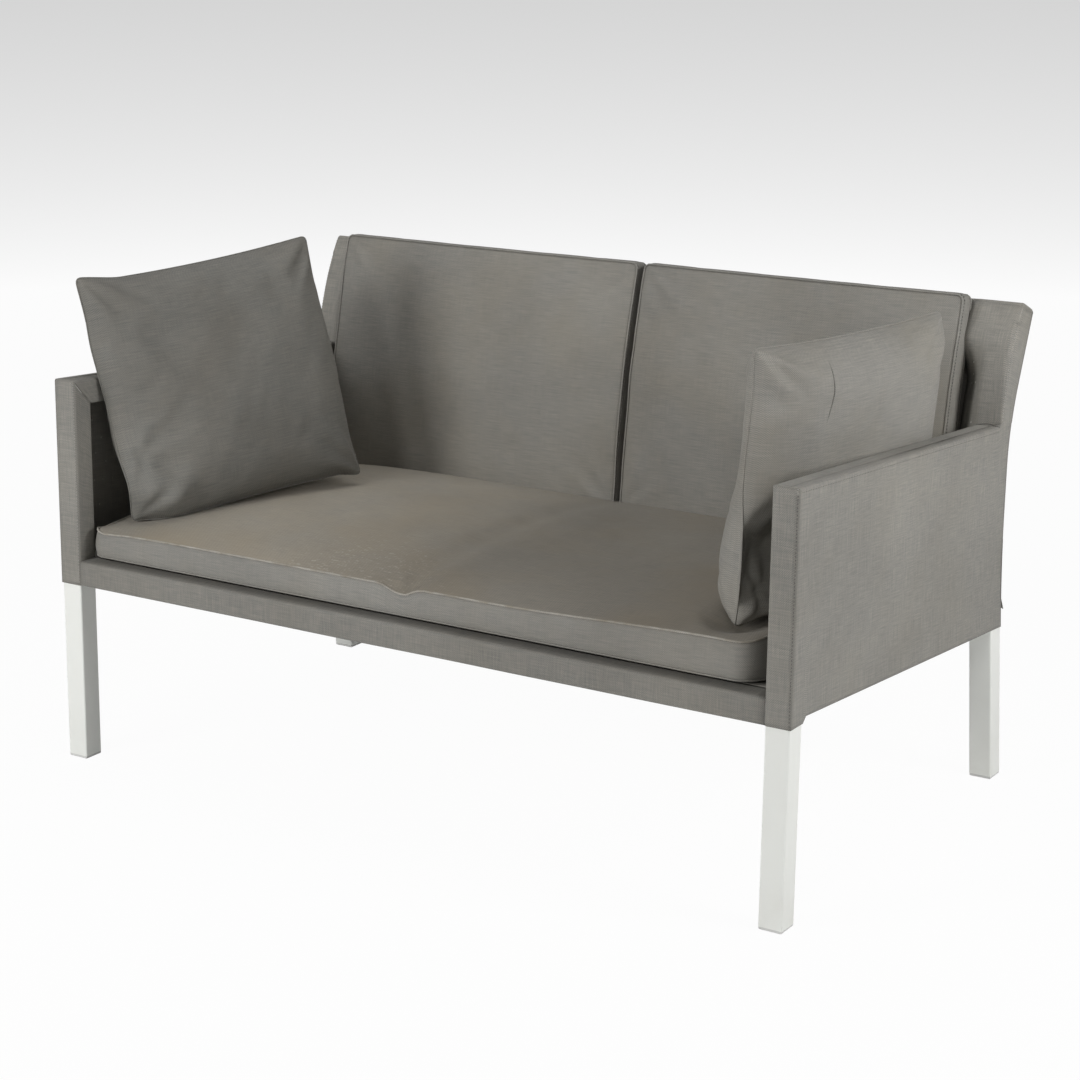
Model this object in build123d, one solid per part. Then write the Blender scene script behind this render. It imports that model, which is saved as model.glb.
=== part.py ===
from build123d import *
from math import cos, pi, radians, sin, tan
import os

# Two-seat patio bench: a welded aluminium frame of square tube, sewn mesh covers
# stretched over it, and loose cushions.
# +X is the sitter's left, +Y the rear, +Z up; the floor is Z = 0.

# Frame tube
tube = 40
wall = 2
tube_corner = 3
weld_gap = 0.2

# Side frames: front leg, arm and bent back post
frame_width = 1394
arm_height = 676
arm_fall_angle = 3.6
arm_reach = 744.5
foot_rake_angle = 7.98
knee_height = 387
knee_radius = 1320
back_lean_angle = 22.3
lean_height = 628
lean_radius = 380
post_top = 815.5

# Seat frame
rail_top = 359.5
seat_rake_angle = 3.9
side_rail_height = 30
rear_rail_depth = 32
brace_width = 40
brace_height = 20
brace_spacing = 440

# Corner angles and their bolts
angle_leg = 40
angle_sheet = 3
angle_height = 24
bolt_diameter = 6
bolt_fit = 0.1
bolt_length = 12
bolt_head_flats = 10
bolt_head_height = 4

# Foot glides and post caps
glide_height = 5
glide_inset = 1
glide_edge = 1.5
plug_depth = 18
plug_fit = 0.15
plug_wall = 3
cap_depth = 12
cap_sheet = 3

# Sewn covers
cover_sheet = 1.2
cover_fit = 0.3
seam_gap = 0.2
panel_hem = 26
skin_drop = 10

# Seat cushion
seat_cushion_inset = 16
seat_cushion_side_gap = 7
seat_cushion_depth = 745
seat_front_rise = 54
seat_middle_rise = 100
seat_rear_rise = 90
seat_bulge = 7
seat_corner = 34
channel_corner = 12
rest_gap = 0.3

# Back cushions
back_cushion_height = 444
back_cushion_foot = 50
back_cushion_rise = 62
back_cushion_head = 42
back_cushion_lean_angle = 8.6
back_cushion_bulge = 6
back_cushion_corner = 14
back_cushion_sink = 14
back_left_gap = 11
back_right_gap = 44
back_middle_gap = 8

# Throw pillows
pillow_width = 466
pillow_height = 434
pillow_thickness = 104
pillow_edge = 9
pillow_edge_bow = 1
left_pillow_inboard = 107
left_pillow_back = 274
left_pillow_rise = 303
left_pillow_turn_angle = -19.9
left_pillow_lean_angle = -14.7
left_pillow_roll_angle = 5.2
right_pillow_inboard = 77
right_pillow_back = 381
right_pillow_rise = 284
right_pillow_turn_angle = -11.9
right_pillow_lean_angle = 3.3
right_pillow_roll_angle = 0.1

# Shares that shape the cushions, and counts of their sections
seat_end_share = 0.72
channel_share = 0.84
back_end_share = 0.72
crown_power = 5
middle_share = 0.5
side_steps = 4
crown_steps = 10
corner_steps = 4
middle_steps = 6
pillow_steps = 10
pillow_power = 0.85
pillow_draw_share = 0.034
angle_hole_share = 0.55

# Derived sizes
x_out = frame_width / 2
x_in = x_out - tube
x_mid = x_out - tube / 2
cover_out = cover_fit + cover_sheet
cover_x = x_out + cover_out
lean_shift = (post_top - lean_height) * tan(radians(back_lean_angle))
top_rear = tube / 2 * cos(radians(back_lean_angle)) + cover_out * (cos(radians(back_lean_angle)) + sin(radians(back_lean_angle)))
overall_depth = cover_out + arm_reach + tube / 2 + lean_shift + top_rear
y_front = cover_out - overall_depth / 2
y_upright = y_front + arm_reach + tube / 2
leg_rear = y_front + tube
whole = frame_width + overall_depth

arm_dir = Vector(0, cos(radians(arm_fall_angle)), -sin(radians(arm_fall_angle)))
arm_up = Vector(0, sin(radians(arm_fall_angle)), cos(radians(arm_fall_angle)))
seat_dir = Vector(0, cos(radians(seat_rake_angle)), -sin(radians(seat_rake_angle)))
seat_up = Vector(0, sin(radians(seat_rake_angle)), cos(radians(seat_rake_angle)))
arm_corner = Vector(0, y_front, arm_height)
seat_corner_point = Vector(0, leg_rear, rail_top)
x_axis = Vector(1, 0, 0)

# The mitre halves the angle between the leg's front and the arm's top
mitre_normal = Vector(0, 1 + sin(radians(arm_fall_angle)), cos(radians(arm_fall_angle)))
mitre = Plane(origin=arm_corner, x_dir=x_axis, z_dir=mitre_normal)

# Centreline of the bent back post
post_foot = Vector(x_mid, y_upright + (knee_height + tube) * tan(radians(foot_rake_angle)), -tube)
post_path = FilletPolyline(
    post_foot,
    Vector(x_mid, y_upright, knee_height),
    Vector(x_mid, y_upright, lean_height),
    Vector(x_mid, y_upright + lean_shift, post_top),
    radius=[knee_radius, lean_radius],
)
post_start = Plane(origin=post_path @ 0, x_dir=x_axis, z_dir=post_path % 0)
post_end = Plane(origin=post_path @ 1, x_dir=x_axis, z_dir=post_path % 1)


def seat_plane(raise_by):
    """Plane parallel to the seat frame's top, raised square to it."""
    return Plane(origin=seat_corner_point + seat_up * raise_by, x_dir=x_axis, z_dir=seat_up)


def arm_plane(raise_by):
    """Plane parallel to the arm's top, raised square to it."""
    return Plane(origin=arm_corner + arm_up * raise_by, x_dir=x_axis, z_dir=arm_up)


def block(low, high):
    """Box from its low corner to its high corner."""
    size = high - low
    centre = (low + high) / 2
    return Pos(centre.X, centre.Y, centre.Z) * Box(size.X, size.Y, size.Z)


def bar(plane, width, height, length, corner):
    """Straight bar of rounded section, from the plane along its normal."""
    section = RectangleRounded(width, height, corner) if corner else Rectangle(width, height)
    return extrude(plane * section, amount=length)


def hollow_bar(plane, width, height, length):
    """Straight tube with the frame's wall."""
    bore = bar(plane, width - 2 * wall, height - 2 * wall, length, 0)
    return bar(plane, width, height, length, tube_corner) - bore


def along_post(x_low, x_high, rear_low, rear_high):
    """Strip that follows the post: across it in X, and front to rear about its centreline."""
    place = Pos((x_low + x_high) / 2 - x_mid, (rear_low + rear_high) / 2)
    section = Rectangle(x_high - x_low, rear_high - rear_low)
    return sweep(post_start * place * section, path=post_path)


def mirrored(shape):
    """The same piece on the other side of the bench."""
    return mirror(shape, about=Plane.YZ)


# Solid envelopes of the frame members, enlarged by a clearance
def leg_block(grow):
    width = tube + 2 * grow
    return bar(Plane(origin=(x_mid, y_front + tube / 2, 0)), width, width, arm_height + tube, 0)


def arm_block(grow):
    start = Vector(x_mid, y_front, arm_height) - arm_up * (tube / 2) - arm_dir * tube
    width = tube + 2 * grow
    plane = Plane(origin=start, x_dir=x_axis, z_dir=arm_dir)
    return bar(plane, width, width, arm_reach + tube + tube / 2, 0)


def front_rail_block(grow):
    low = Vector(-x_in - grow, y_front - grow, rail_top - tube - grow)
    high = Vector(x_in + grow, leg_rear + grow, rail_top + grow)
    return block(low, high)


def post_block(grow):
    half = tube / 2 + grow
    return along_post(x_mid - half, x_mid + half, -half, half)


# Front leg, cut to the mitre
leg_plane = Plane(origin=(x_mid, y_front + tube / 2, glide_height))
leg = hollow_bar(leg_plane, tube, tube, arm_height)
leg = split(leg, bisect_by=mitre, keep=Keep.BOTTOM)

# Arm rail, from the mitre to the post
arm_start = Vector(x_mid, y_front, arm_height) - arm_up * (tube / 2) - arm_dir * tube
arm_tube_plane = Plane(origin=arm_start, x_dir=x_axis, z_dir=arm_dir)
arm_rail = hollow_bar(arm_tube_plane, tube, tube, arm_reach + tube + tube / 2)
arm_rail = split(arm_rail, bisect_by=mitre, keep=Keep.TOP) - post_block(weld_gap)

# Back post: the tube is bent twice, its foot is cut level and its top square
outer_section = RectangleRounded(tube, tube, tube_corner)
inner_width = tube - 2 * wall
inner_section = Rectangle(inner_width, inner_width)
post = sweep(post_start * (outer_section - inner_section), path=post_path)
post = split(post, bisect_by=Plane.XY.offset(glide_height), keep=Keep.TOP)

# Along the seat plane, the run from the front rail to where the post's centreline crosses
rail_mid = seat_corner_point - seat_up * (side_rail_height / 2)
rake_tan = tan(radians(foot_rake_angle))
rear_run = (y_upright - rail_mid.Y + (knee_height - rail_mid.Z) * rake_tan) / (
    cos(radians(seat_rake_angle)) - sin(radians(seat_rake_angle)) * rake_tan
)
rear_mid = rail_mid + seat_dir * rear_run

# Side rail between the leg and the post
side_rail_start = rail_mid + x_axis * x_mid - seat_dir * (tube / 2)
side_rail_plane = Plane(origin=side_rail_start, x_dir=x_axis, z_dir=seat_dir)
side_rail = hollow_bar(side_rail_plane, tube, side_rail_height, rear_run + tube / 2)
side_rail = side_rail - leg_block(weld_gap) - post_block(weld_gap)

# Cross members, all from side to side
cross_length = 2 * (x_in - weld_gap)
front_rail_plane = Plane(
    origin=(-x_in + weld_gap, y_front + tube / 2, rail_top - tube / 2), x_dir=(0, 1, 0), z_dir=x_axis
)
front_rail = hollow_bar(front_rail_plane, tube, tube, cross_length)

# The rear rail's top lies in the seat plane
rear_rail_plane = Plane(
    origin=rear_mid - x_axis * (x_in - weld_gap), x_dir=seat_dir, z_dir=x_axis
)
rear_rail = hollow_bar(rear_rail_plane, rear_rail_depth, side_rail_height, cross_length)

top_mid = post_path @ 1 - post_path % 1 * (tube / 2)
top_rail_plane = Plane(
    origin=(-x_in + weld_gap, top_mid.Y, top_mid.Z), x_dir=post_end.y_dir, z_dir=x_axis
)
top_rail = hollow_bar(top_rail_plane, tube, tube, cross_length)

# Seat braces under the sling
brace_start = seat_corner_point - seat_up * (brace_height / 2) - seat_dir * weld_gap
brace_length = rear_run - rear_rail_depth / 2


def brace(x):
    plane = Plane(origin=brace_start + x_axis * x, x_dir=x_axis, z_dir=seat_dir)
    return hollow_bar(plane, brace_width, brace_height, brace_length) - front_rail_block(weld_gap)


# Corner angles join the rails; each leg has one bolt at the middle of its height
def bolt(plane):
    """Hexagon bolt: the plane lies on the sheet it clamps, its normal points to the head."""
    hexagon = RegularPolygon(bolt_head_flats / 2, 6, major_radius=False)
    head = extrude(plane * hexagon, amount=bolt_head_height)
    return head + extrude(plane * Circle(bolt_diameter / 2), amount=-bolt_length)


def corner_angle(corner, away, up):
    """Angle with its corner on the side rail: the first leg lies on the cross rail."""
    base = Plane(origin=corner - up * (angle_height / 2), x_dir=-x_axis, z_dir=up)
    side = 1 if (base.y_dir.Y > 0) == (away.Y > 0) else -1
    cross_leg = Pos(angle_leg / 2, side * angle_sheet / 2) * Rectangle(angle_leg, angle_sheet)
    side_leg = Pos(angle_sheet / 2, side * angle_leg / 2) * Rectangle(angle_sheet, angle_leg)
    return extrude(base * (cross_leg + side_leg), amount=angle_height)


def angle_bolt_planes(corner, away):
    """Places of the two bolts, on the inner faces of the angle's legs."""
    run = angle_leg * angle_hole_share
    return [
        Plane(origin=corner - x_axis * run + away * angle_sheet, x_dir=x_axis, z_dir=away),
        Plane(origin=corner + away * run - x_axis * angle_sheet, x_dir=away, z_dir=-x_axis),
    ]


y_axis = Vector(0, 1, 0)
z_axis = Vector(0, 0, 1)
side_x = x_axis * (x_in - weld_gap)
front_corner = Vector(0, leg_rear + weld_gap, rail_mid.Z) + side_x
rear_corner = rear_mid + side_x - seat_dir * (rear_rail_depth / 2 + weld_gap)
front_angle = corner_angle(front_corner, y_axis, z_axis)
rear_angle = corner_angle(rear_corner, seat_dir * -1, seat_up)
bolt_planes = angle_bolt_planes(front_corner, y_axis) + angle_bolt_planes(rear_corner, seat_dir * -1)
bolts = [bolt(plane) for plane in bolt_planes]
hole = Circle(bolt_diameter / 2 + bolt_fit)
holes = [extrude(plane * hole, amount=bolt_length + bolt_fit, both=True) for plane in bolt_planes]
front_angle = front_angle - holes
rear_angle = rear_angle - holes
side_rail = side_rail - holes
all_holes = holes + [mirrored(item) for item in holes]
front_rail = front_rail - all_holes
rear_rail = rear_rail - all_holes


# Foot glide: a plate under the tube with a spigot in its bore
def glide(plane, tilt):
    width = tube - 2 * glide_inset
    plate = extrude(plane * Rectangle(width, width), amount=glide_height - weld_gap)
    plate = chamfer(plate.faces().sort_by(Axis.Z)[0].edges(), glide_edge)
    spigot_width = inner_width - 2 * plug_fit
    spigot = Rectangle(spigot_width, spigot_width)
    bore = Rectangle(spigot_width - 2 * plug_wall, spigot_width - 2 * plug_wall)
    raised = plane.offset(glide_height - weld_gap)
    stem_plane = Plane(origin=raised.origin, x_dir=x_axis, z_dir=tilt)
    stem = extrude(stem_plane * (spigot - bore), amount=plug_depth)
    stem = stem + extrude(stem_plane * (spigot - bore), amount=-glide_height / 2)
    stem = split(stem, bisect_by=raised, keep=Keep.TOP)
    return plate + stem


foot_y = y_upright + (knee_height - glide_height + weld_gap) * rake_tan
front_glide = glide(Plane(origin=(x_mid, y_front + tube / 2, 0)), Vector(0, 0, 1))
rear_glide = glide(Plane(origin=(x_mid, foot_y, 0)), post_path % 0)

# Cap that closes the post's top
cap_width = inner_width - 2 * plug_fit
cap_outer = Rectangle(cap_width, cap_width)
cap_inner = Rectangle(cap_width - 2 * cap_sheet, cap_width - 2 * cap_sheet)
cap = extrude(post_end * cap_outer, amount=-cap_depth)
cap = cap - extrude(post_end.offset(-cap_sheet) * cap_inner, amount=-cap_depth)

# Arm covers. The side panel lies outside the side frame, down to a raked hem
panel_low = x_out + cover_fit
panel_slab = block(Vector(panel_low, -whole, -whole), Vector(cover_x, whole, whole))
side_hem = seat_plane(-side_rail_height - cover_out)
arm_lid = arm_plane(cover_out)
cuff_z = rail_top - tube - cover_out
body_panel = block(
    Vector(panel_low, y_front - cover_out, cuff_z),
    Vector(cover_x, y_upright, arm_height + tube),
)
hem_cut = block(
    Vector(panel_low, leg_rear + cover_out, 0),
    Vector(cover_x, y_upright, arm_height + tube),
)
front_tab = split(body_panel - hem_cut, bisect_by=Plane.XY.offset(cuff_z), keep=Keep.TOP)
rear_field = split(hem_cut, bisect_by=side_hem, keep=Keep.TOP)
post_field = along_post(panel_low, cover_x, -tube / 2, tube / 2 + cover_fit - seam_gap)
post_field = split(post_field, bisect_by=side_hem, keep=Keep.TOP)
under_hem = block(Vector(x_out - panel_hem, leg_rear + cover_out, 0), Vector(cover_x, y_upright, arm_height))
under_hem = split(under_hem, bisect_by=side_hem, keep=Keep.TOP)
under_hem = split(under_hem, bisect_by=seat_plane(-side_rail_height - cover_fit), keep=Keep.BOTTOM)
under_hem = under_hem - leg_block(cover_out) - post_block(cover_out)
side_panel = front_tab + rear_field + post_field + under_hem
side_panel = split(side_panel, bisect_by=arm_lid, keep=Keep.BOTTOM)

# The front sleeve wraps the leg's front, inner and rear faces down to the cuff
front_sleeve = leg_block(cover_out) - leg_block(cover_fit)
front_sleeve = split(front_sleeve, bisect_by=mitre, keep=Keep.BOTTOM)
front_sleeve = split(front_sleeve, bisect_by=Plane.XY.offset(cuff_z), keep=Keep.TOP)
outside = block(Vector(x_out + cover_fit - seam_gap, -whole, -whole), Vector(whole, whole, whole))
front_sleeve = front_sleeve - outside - front_rail_block(cover_out + seam_gap)
front_sleeve = front_sleeve - block(
    Vector(x_in - tube, leg_rear, 0), Vector(whole, leg_rear + tube, rail_top + cover_out + seam_gap)
)
front_sleeve = split(front_sleeve, bisect_by=mitre.offset(-seam_gap), keep=Keep.BOTTOM)

# The arm sleeve wraps the rail's top, inner side and underside up to the post
arm_sleeve = arm_block(cover_out) - arm_block(cover_fit)
arm_sleeve = split(arm_sleeve, bisect_by=mitre.offset(seam_gap), keep=Keep.TOP)
arm_sleeve = arm_sleeve - outside - post_block(cover_out + seam_gap)

# The post sleeve wraps the bent post's front and inner side, and its outer side above the arm
post_wrap = post_block(cover_out) - post_block(cover_fit)
rear_side = along_post(x_mid - tube, x_mid + tube, tube / 2 + cover_fit - seam_gap, tube)
post_wrap = split(post_wrap - rear_side, bisect_by=seat_plane(cover_out + seam_gap), keep=Keep.TOP)
low_wrap = split(post_wrap - outside, bisect_by=arm_plane(cover_out + seam_gap), keep=Keep.BOTTOM)
high_wrap = split(post_wrap, bisect_by=arm_plane(cover_out + seam_gap), keep=Keep.TOP)
post_sleeve = low_wrap + high_wrap - arm_block(cover_out + seam_gap)
top_frame = Plane(origin=(0, top_mid.Y, top_mid.Z), x_dir=post_end.y_dir, z_dir=x_axis)
rail_room = Rectangle(tube + 2 * (cover_out + seam_gap), tube + 2 * (cover_out + seam_gap))
post_sleeve = post_sleeve - extrude(top_frame * rail_room, amount=x_in - cover_fit / 2, both=True)

# Back skin behind the posts, from the hem to the top
back_skin = along_post(-cover_x, cover_x, tube / 2 + cover_fit, tube / 2 + cover_out)
back_skin = split(back_skin, bisect_by=seat_plane(-side_rail_height + skin_drop), keep=Keep.TOP)

# Top sleeve over the top rail and the ends of the posts
sleeve_half = x_in - cover_out - seam_gap
wrap_outer = tube + 2 * cover_out
wrap_inner = tube + 2 * cover_fit
top_wrap = extrude(top_frame * Rectangle(wrap_outer, wrap_outer), amount=sleeve_half, both=True)
top_wrap = top_wrap - extrude(top_frame * Rectangle(wrap_inner, wrap_inner), amount=sleeve_half, both=True)
skin_side = Pos(tube / 2 + cover_fit - seam_gap + tube / 2) * Rectangle(tube, wrap_outer + tube)
top_wrap = top_wrap - extrude(top_frame * skin_side, amount=whole, both=True)
lid_shift = tube / 2 + cover_fit + cover_sheet / 2
lid_section = Pos(0, lid_shift) * Rectangle(wrap_outer, cover_sheet)
top_sleeve = top_wrap + extrude(top_frame * lid_section, amount=cover_x, both=True)
post_sleeve = split(post_sleeve, bisect_by=post_end, keep=Keep.BOTTOM)
back_skin = split(back_skin, bisect_by=post_end, keep=Keep.BOTTOM)

# Front rail sleeve round the rail's front, top and underside
rail_sleeve = front_rail_block(cover_out) - front_rail_block(cover_fit)
rail_sleeve = rail_sleeve & block(
    Vector(-sleeve_half, y_front - tube, rail_top - 2 * tube), Vector(sleeve_half, leg_rear, rail_top + tube)
)

# Seat sling over the rear rail and the braces
sling_length = rear_run + tube / 2
sling_plane = seat_plane(cover_fit)
sling_section = Pos(0, sling_length / 2 + seam_gap) * Rectangle(2 * sleeve_half, sling_length)
seat_sling = extrude(Plane(origin=sling_plane.origin, x_dir=x_axis, z_dir=seat_up) * sling_section, amount=cover_sheet)
seat_sling = seat_sling - along_post(-whole, whole, tube / 2 - seam_gap, 2 * tube)


def bow(start, middle, end, steps):
    """Points from the start to before the end, on the curve through the three."""
    points = []
    for step in range(steps):
        share = step / steps
        first = Vector(*start) * ((share - middle_share) * (share - 1) / middle_share)
        second = Vector(*middle) * (share * (1 - share) / (middle_share * (1 - middle_share)))
        third = Vector(*end) * (share * (share - middle_share) / (1 - middle_share))
        points.append(first + second + third)
    return points


# Boxed cushion section: flat underside, bowed sides, crowned top
def boxed_section(plane, run, inset, front_rise, middle_rise, rear_rise, bulge):
    low, high = inset, run - inset
    middle = low + (high - low) * middle_share
    points = bow((high, 0), (high + bulge, rear_rise / 2), (high, rear_rise), side_steps)
    points += bow((high, rear_rise), (middle, middle_rise), (low, front_rise), crown_steps)
    points += bow((low, front_rise), (low - bulge, front_rise / 2), (low, 0), side_steps)
    return plane * make_face(Polyline(points + [(low, 0)], close=True))


def stations(width, start_corner, end_corner):
    """Places along a cushion and how far its outline is drawn in there: round corners in plan."""
    turns = [pi / 2 * step / corner_steps for step in range(corner_steps + 1)]
    first = [(start_corner * (1 - cos(a)), start_corner * (1 - sin(a))) for a in turns]
    last = [(width - end_corner * (1 - cos(a)), end_corner * (1 - sin(a))) for a in reversed(turns)]
    span = width - start_corner - end_corner
    middle = [(start_corner + span * step / middle_steps, 0) for step in range(1, middle_steps)]
    return first + middle + last


def boxed_cushion(origin, run_dir, width, run, rises, bulge, corners, end_shares):
    """Loft along X; the crown falls off towards both ends, each to its own share."""
    sections = []
    for place, inset in stations(width, *corners):
        side = 2 * place / width - 1
        fall = 1 - end_shares[0] if side < 0 else 1 - end_shares[1]
        keep = 1 - fall * abs(side) ** crown_power
        plane = Plane(origin=origin + x_axis * place, x_dir=run_dir, z_dir=x_axis)
        low, mid, high = (rise * keep for rise in rises)
        sections.append(boxed_section(plane, run, inset, low, mid, high, bulge * keep))
    return loft(sections, ruled=True)


# Seat cushion: two lobes that meet at a shallow channel
seat_half = x_in - cover_out - seat_cushion_side_gap
seat_rises = (seat_front_rise, seat_middle_rise, seat_rear_rise)
seat_start = seat_corner_point + seat_up * (cover_out + rest_gap)
seat_start = seat_start - seat_dir * (tube + cover_out - seat_cushion_inset)
seat_lobe = boxed_cushion(
    seat_start - x_axis * seat_half, seat_dir, seat_half, seat_cushion_depth, seat_rises,
    seat_bulge, (seat_corner, channel_corner), (seat_end_share, channel_share),
)
seat_cushion = seat_lobe + mirrored(seat_lobe)
seat_clear = Pos(0, 0, rest_gap) * seat_cushion

# Back cushions lean on the top rail's lower front edge and stand on the seat cushion
lean_rad = radians(back_cushion_lean_angle)
back_up = Vector(0, sin(lean_rad), cos(lean_rad))
back_front = Vector(0, -cos(lean_rad), sin(lean_rad))
rail_front = Vector(0, top_mid.Y, top_mid.Z) - post_end.y_dir * (tube / 2 + cover_out)
rail_high = rail_front + post_end.z_dir * (tube / 2 + cover_out)
rail_low = rail_front - post_end.z_dir * (tube / 2 + cover_out)
rail_reach = max(rail_high.dot(back_front), rail_low.dot(back_front)) + rest_gap
foot_rise = cover_out + rest_gap + seat_rear_rise - back_cushion_sink
foot_run = foot_rise + seat_corner_point.dot(seat_up) - rail_reach * back_front.dot(seat_up)
back_start = back_front * rail_reach + back_up * (foot_run / back_up.dot(seat_up))
back_rises = (back_cushion_foot, back_cushion_rise, back_cushion_head)


def back_cushion(x_low, x_high):
    cushion = boxed_cushion(
        back_start + x_axis * x_low, back_up, x_high - x_low, back_cushion_height, back_rises,
        back_cushion_bulge, (back_cushion_corner, back_cushion_corner), (back_end_share, back_end_share),
    )
    return cushion - seat_clear


sleeve_in = x_in - cover_out
back_cushion_left = back_cushion(-sleeve_in + back_left_gap, -back_middle_gap / 2)
back_cushion_right = back_cushion(back_middle_gap / 2, sleeve_in - back_right_gap)


# Throw pillow: two bellies that meet in a narrow edge band, its sides drawn in
def pillow_section(angle):
    swell = sin(angle) ** pillow_power if angle < pi else 0
    half = pillow_height / 2 * (1 - pillow_draw_share * sin(angle))
    band = pillow_edge / 2
    belly = band + pillow_edge_bow + (pillow_thickness / 2 - band) * swell
    points = bow((-half, band), (0, belly), (half, band), pillow_steps) + [Vector(half, band)]
    points += bow((half, -band), (0, -belly), (-half, -band), pillow_steps) + [Vector(-half, -band)]
    place = pillow_width / 2 * -cos(angle)
    plane = Plane(origin=(0, place, 0), x_dir=(0, 0, 1), z_dir=(0, 1, 0))
    return plane * make_face(Polyline(points, close=True))


pillow_angles = [pi * step / pillow_steps for step in range(pillow_steps + 1)]
pillow = loft([pillow_section(angle) for angle in pillow_angles], ruled=True)


def placed_pillow(x, back, rise, turn, lean, roll):
    """Pillow on the seat cushion, turned, leant and rolled about its own middle."""
    y = y_front + back
    seat_z = rail_top - (y - leg_rear) * tan(radians(seat_rake_angle))
    spun = Rot(Z=turn) * Rot(Y=lean) * Rot(X=roll) * pillow
    return Pos(x, y, seat_z + rise) * spun - seat_clear


# The arms stop the pillows: nothing of them is outside an arm's inner side below its top
arm_room = block(Vector(sleeve_in - rest_gap, -whole, 0), Vector(whole, whole, whole))
arm_room = split(arm_room, bisect_by=arm_plane(cover_out + rest_gap), keep=Keep.BOTTOM)
left_pillow = placed_pillow(
    -x_in + left_pillow_inboard, left_pillow_back, left_pillow_rise,
    left_pillow_turn_angle, left_pillow_lean_angle, left_pillow_roll_angle,
) - mirrored(arm_room)
right_pillow = placed_pillow(
    x_in - right_pillow_inboard, right_pillow_back, right_pillow_rise,
    right_pillow_turn_angle, right_pillow_lean_angle, right_pillow_roll_angle,
) - arm_room

parts = {
    "front_leg_right": leg,
    "front_leg_left": mirrored(leg),
    "arm_rail_right": arm_rail,
    "arm_rail_left": mirrored(arm_rail),
    "back_post_right": post,
    "back_post_left": mirrored(post),
    "side_rail_right": side_rail,
    "side_rail_left": mirrored(side_rail),
    "front_seat_rail": front_rail,
    "rear_seat_rail": rear_rail,
    "back_top_rail": top_rail,
    "seat_brace_right": brace(brace_spacing / 2),
    "seat_brace_left": brace(-brace_spacing / 2),
    "front_angle_right": front_angle,
    "front_angle_left": mirrored(front_angle),
    "rear_angle_right": rear_angle,
    "rear_angle_left": mirrored(rear_angle),
    "frame_bolts": Compound(children=bolts + [mirrored(item) for item in bolts]),
    "front_glide_right": front_glide,
    "front_glide_left": mirrored(front_glide),
    "rear_glide_right": rear_glide,
    "rear_glide_left": mirrored(rear_glide),
    "post_cap_right": cap,
    "post_cap_left": mirrored(cap),
    "arm_side_panel_right": side_panel,
    "arm_side_panel_left": mirrored(side_panel),
    "arm_front_sleeve_right": front_sleeve,
    "arm_front_sleeve_left": mirrored(front_sleeve),
    "arm_top_sleeve_right": arm_sleeve,
    "arm_top_sleeve_left": mirrored(arm_sleeve),
    "post_sleeve_right": post_sleeve,
    "post_sleeve_left": mirrored(post_sleeve),
    "back_skin": back_skin,
    "top_rail_sleeve": top_sleeve,
    "front_rail_sleeve": rail_sleeve,
    "seat_sling": seat_sling,
    "seat_cushion": seat_cushion,
    "back_cushion_left": back_cushion_left,
    "back_cushion_right": back_cushion_right,
    "throw_pillow_left": left_pillow,
    "throw_pillow_right": right_pillow,
}

os.makedirs("parts", exist_ok=True)
for name, shape in parts.items():
    export_step(shape, "parts/" + name + ".step")
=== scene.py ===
import bpy
import numpy as np
from math import atan2, ceil, cos, pi, radians, sin, tan
from mathutils import Matrix, Vector, noise
from mathutils.bvhtree import BVHTree


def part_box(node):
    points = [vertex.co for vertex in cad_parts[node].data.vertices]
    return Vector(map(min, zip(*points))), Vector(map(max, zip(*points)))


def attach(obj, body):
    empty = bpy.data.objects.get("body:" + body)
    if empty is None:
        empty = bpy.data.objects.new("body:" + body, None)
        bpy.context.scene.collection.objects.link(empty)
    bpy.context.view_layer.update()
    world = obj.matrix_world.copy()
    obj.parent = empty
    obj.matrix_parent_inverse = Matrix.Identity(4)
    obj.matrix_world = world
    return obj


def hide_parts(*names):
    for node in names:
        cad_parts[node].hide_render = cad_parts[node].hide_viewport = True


# Patio bench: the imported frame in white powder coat, its sewn mesh covers and its cushions.
# Metres, +X to the right of the picture, +Y to the back, +Z up.

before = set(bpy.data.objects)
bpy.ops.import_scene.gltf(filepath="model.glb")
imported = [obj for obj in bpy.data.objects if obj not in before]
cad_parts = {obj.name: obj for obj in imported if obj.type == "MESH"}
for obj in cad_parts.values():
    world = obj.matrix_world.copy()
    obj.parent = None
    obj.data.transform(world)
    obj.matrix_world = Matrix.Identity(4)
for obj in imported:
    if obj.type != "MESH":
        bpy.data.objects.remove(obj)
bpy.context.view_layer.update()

# Frame sizes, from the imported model
leg_low, leg_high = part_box("front_leg_right")
rail_low, rail_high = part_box("front_seat_rail")
tube = leg_high.x - leg_low.x
x_out = leg_high.x
x_in = leg_low.x
x_mid = (x_in + x_out) / 2
y_front = leg_low.y
leg_rear = leg_high.y
leg_y = (y_front + leg_rear) / 2
rail_top = rail_high.z
rail_bottom = rail_low.z
cover_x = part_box("arm_side_panel_right")[1].x
cover = cover_x - x_out

# Angles and bends of the side frames
arm_height = 0.676
arm_fall = radians(3.6)
arm_reach = 0.7445
seat_rake = radians(3.9)
side_rail_height = 0.030
upright_y = y_front + arm_reach + tube / 2
foot_rake = radians(7.98)
knee_height = 0.387
knee_radius = 1.320
back_lean = radians(22.3)
lean_height = 0.628
lean_radius = 0.380
post_top = 0.8155

# Fabric and sewing
sheet = 0.0012
wrap = tube / 2 + cover - sheet / 2
fold_radius = 0.0042
panel_seam_inset = fold_radius * 0.8
stitch_pitch = 0.0055
stitch_length = 0.0032
stitch_width = 0.0014

# Grids of the covers: steps in metres, and steps as shares of a cover's length
wrap_step = 0.008
sleeve_step = 0.018
edge_step = 0.012
post_step = 0.010
sling_step = 0.03
strip_share = 0.025
sleeve_share = 0.018
panel_share = 0.0125

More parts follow.
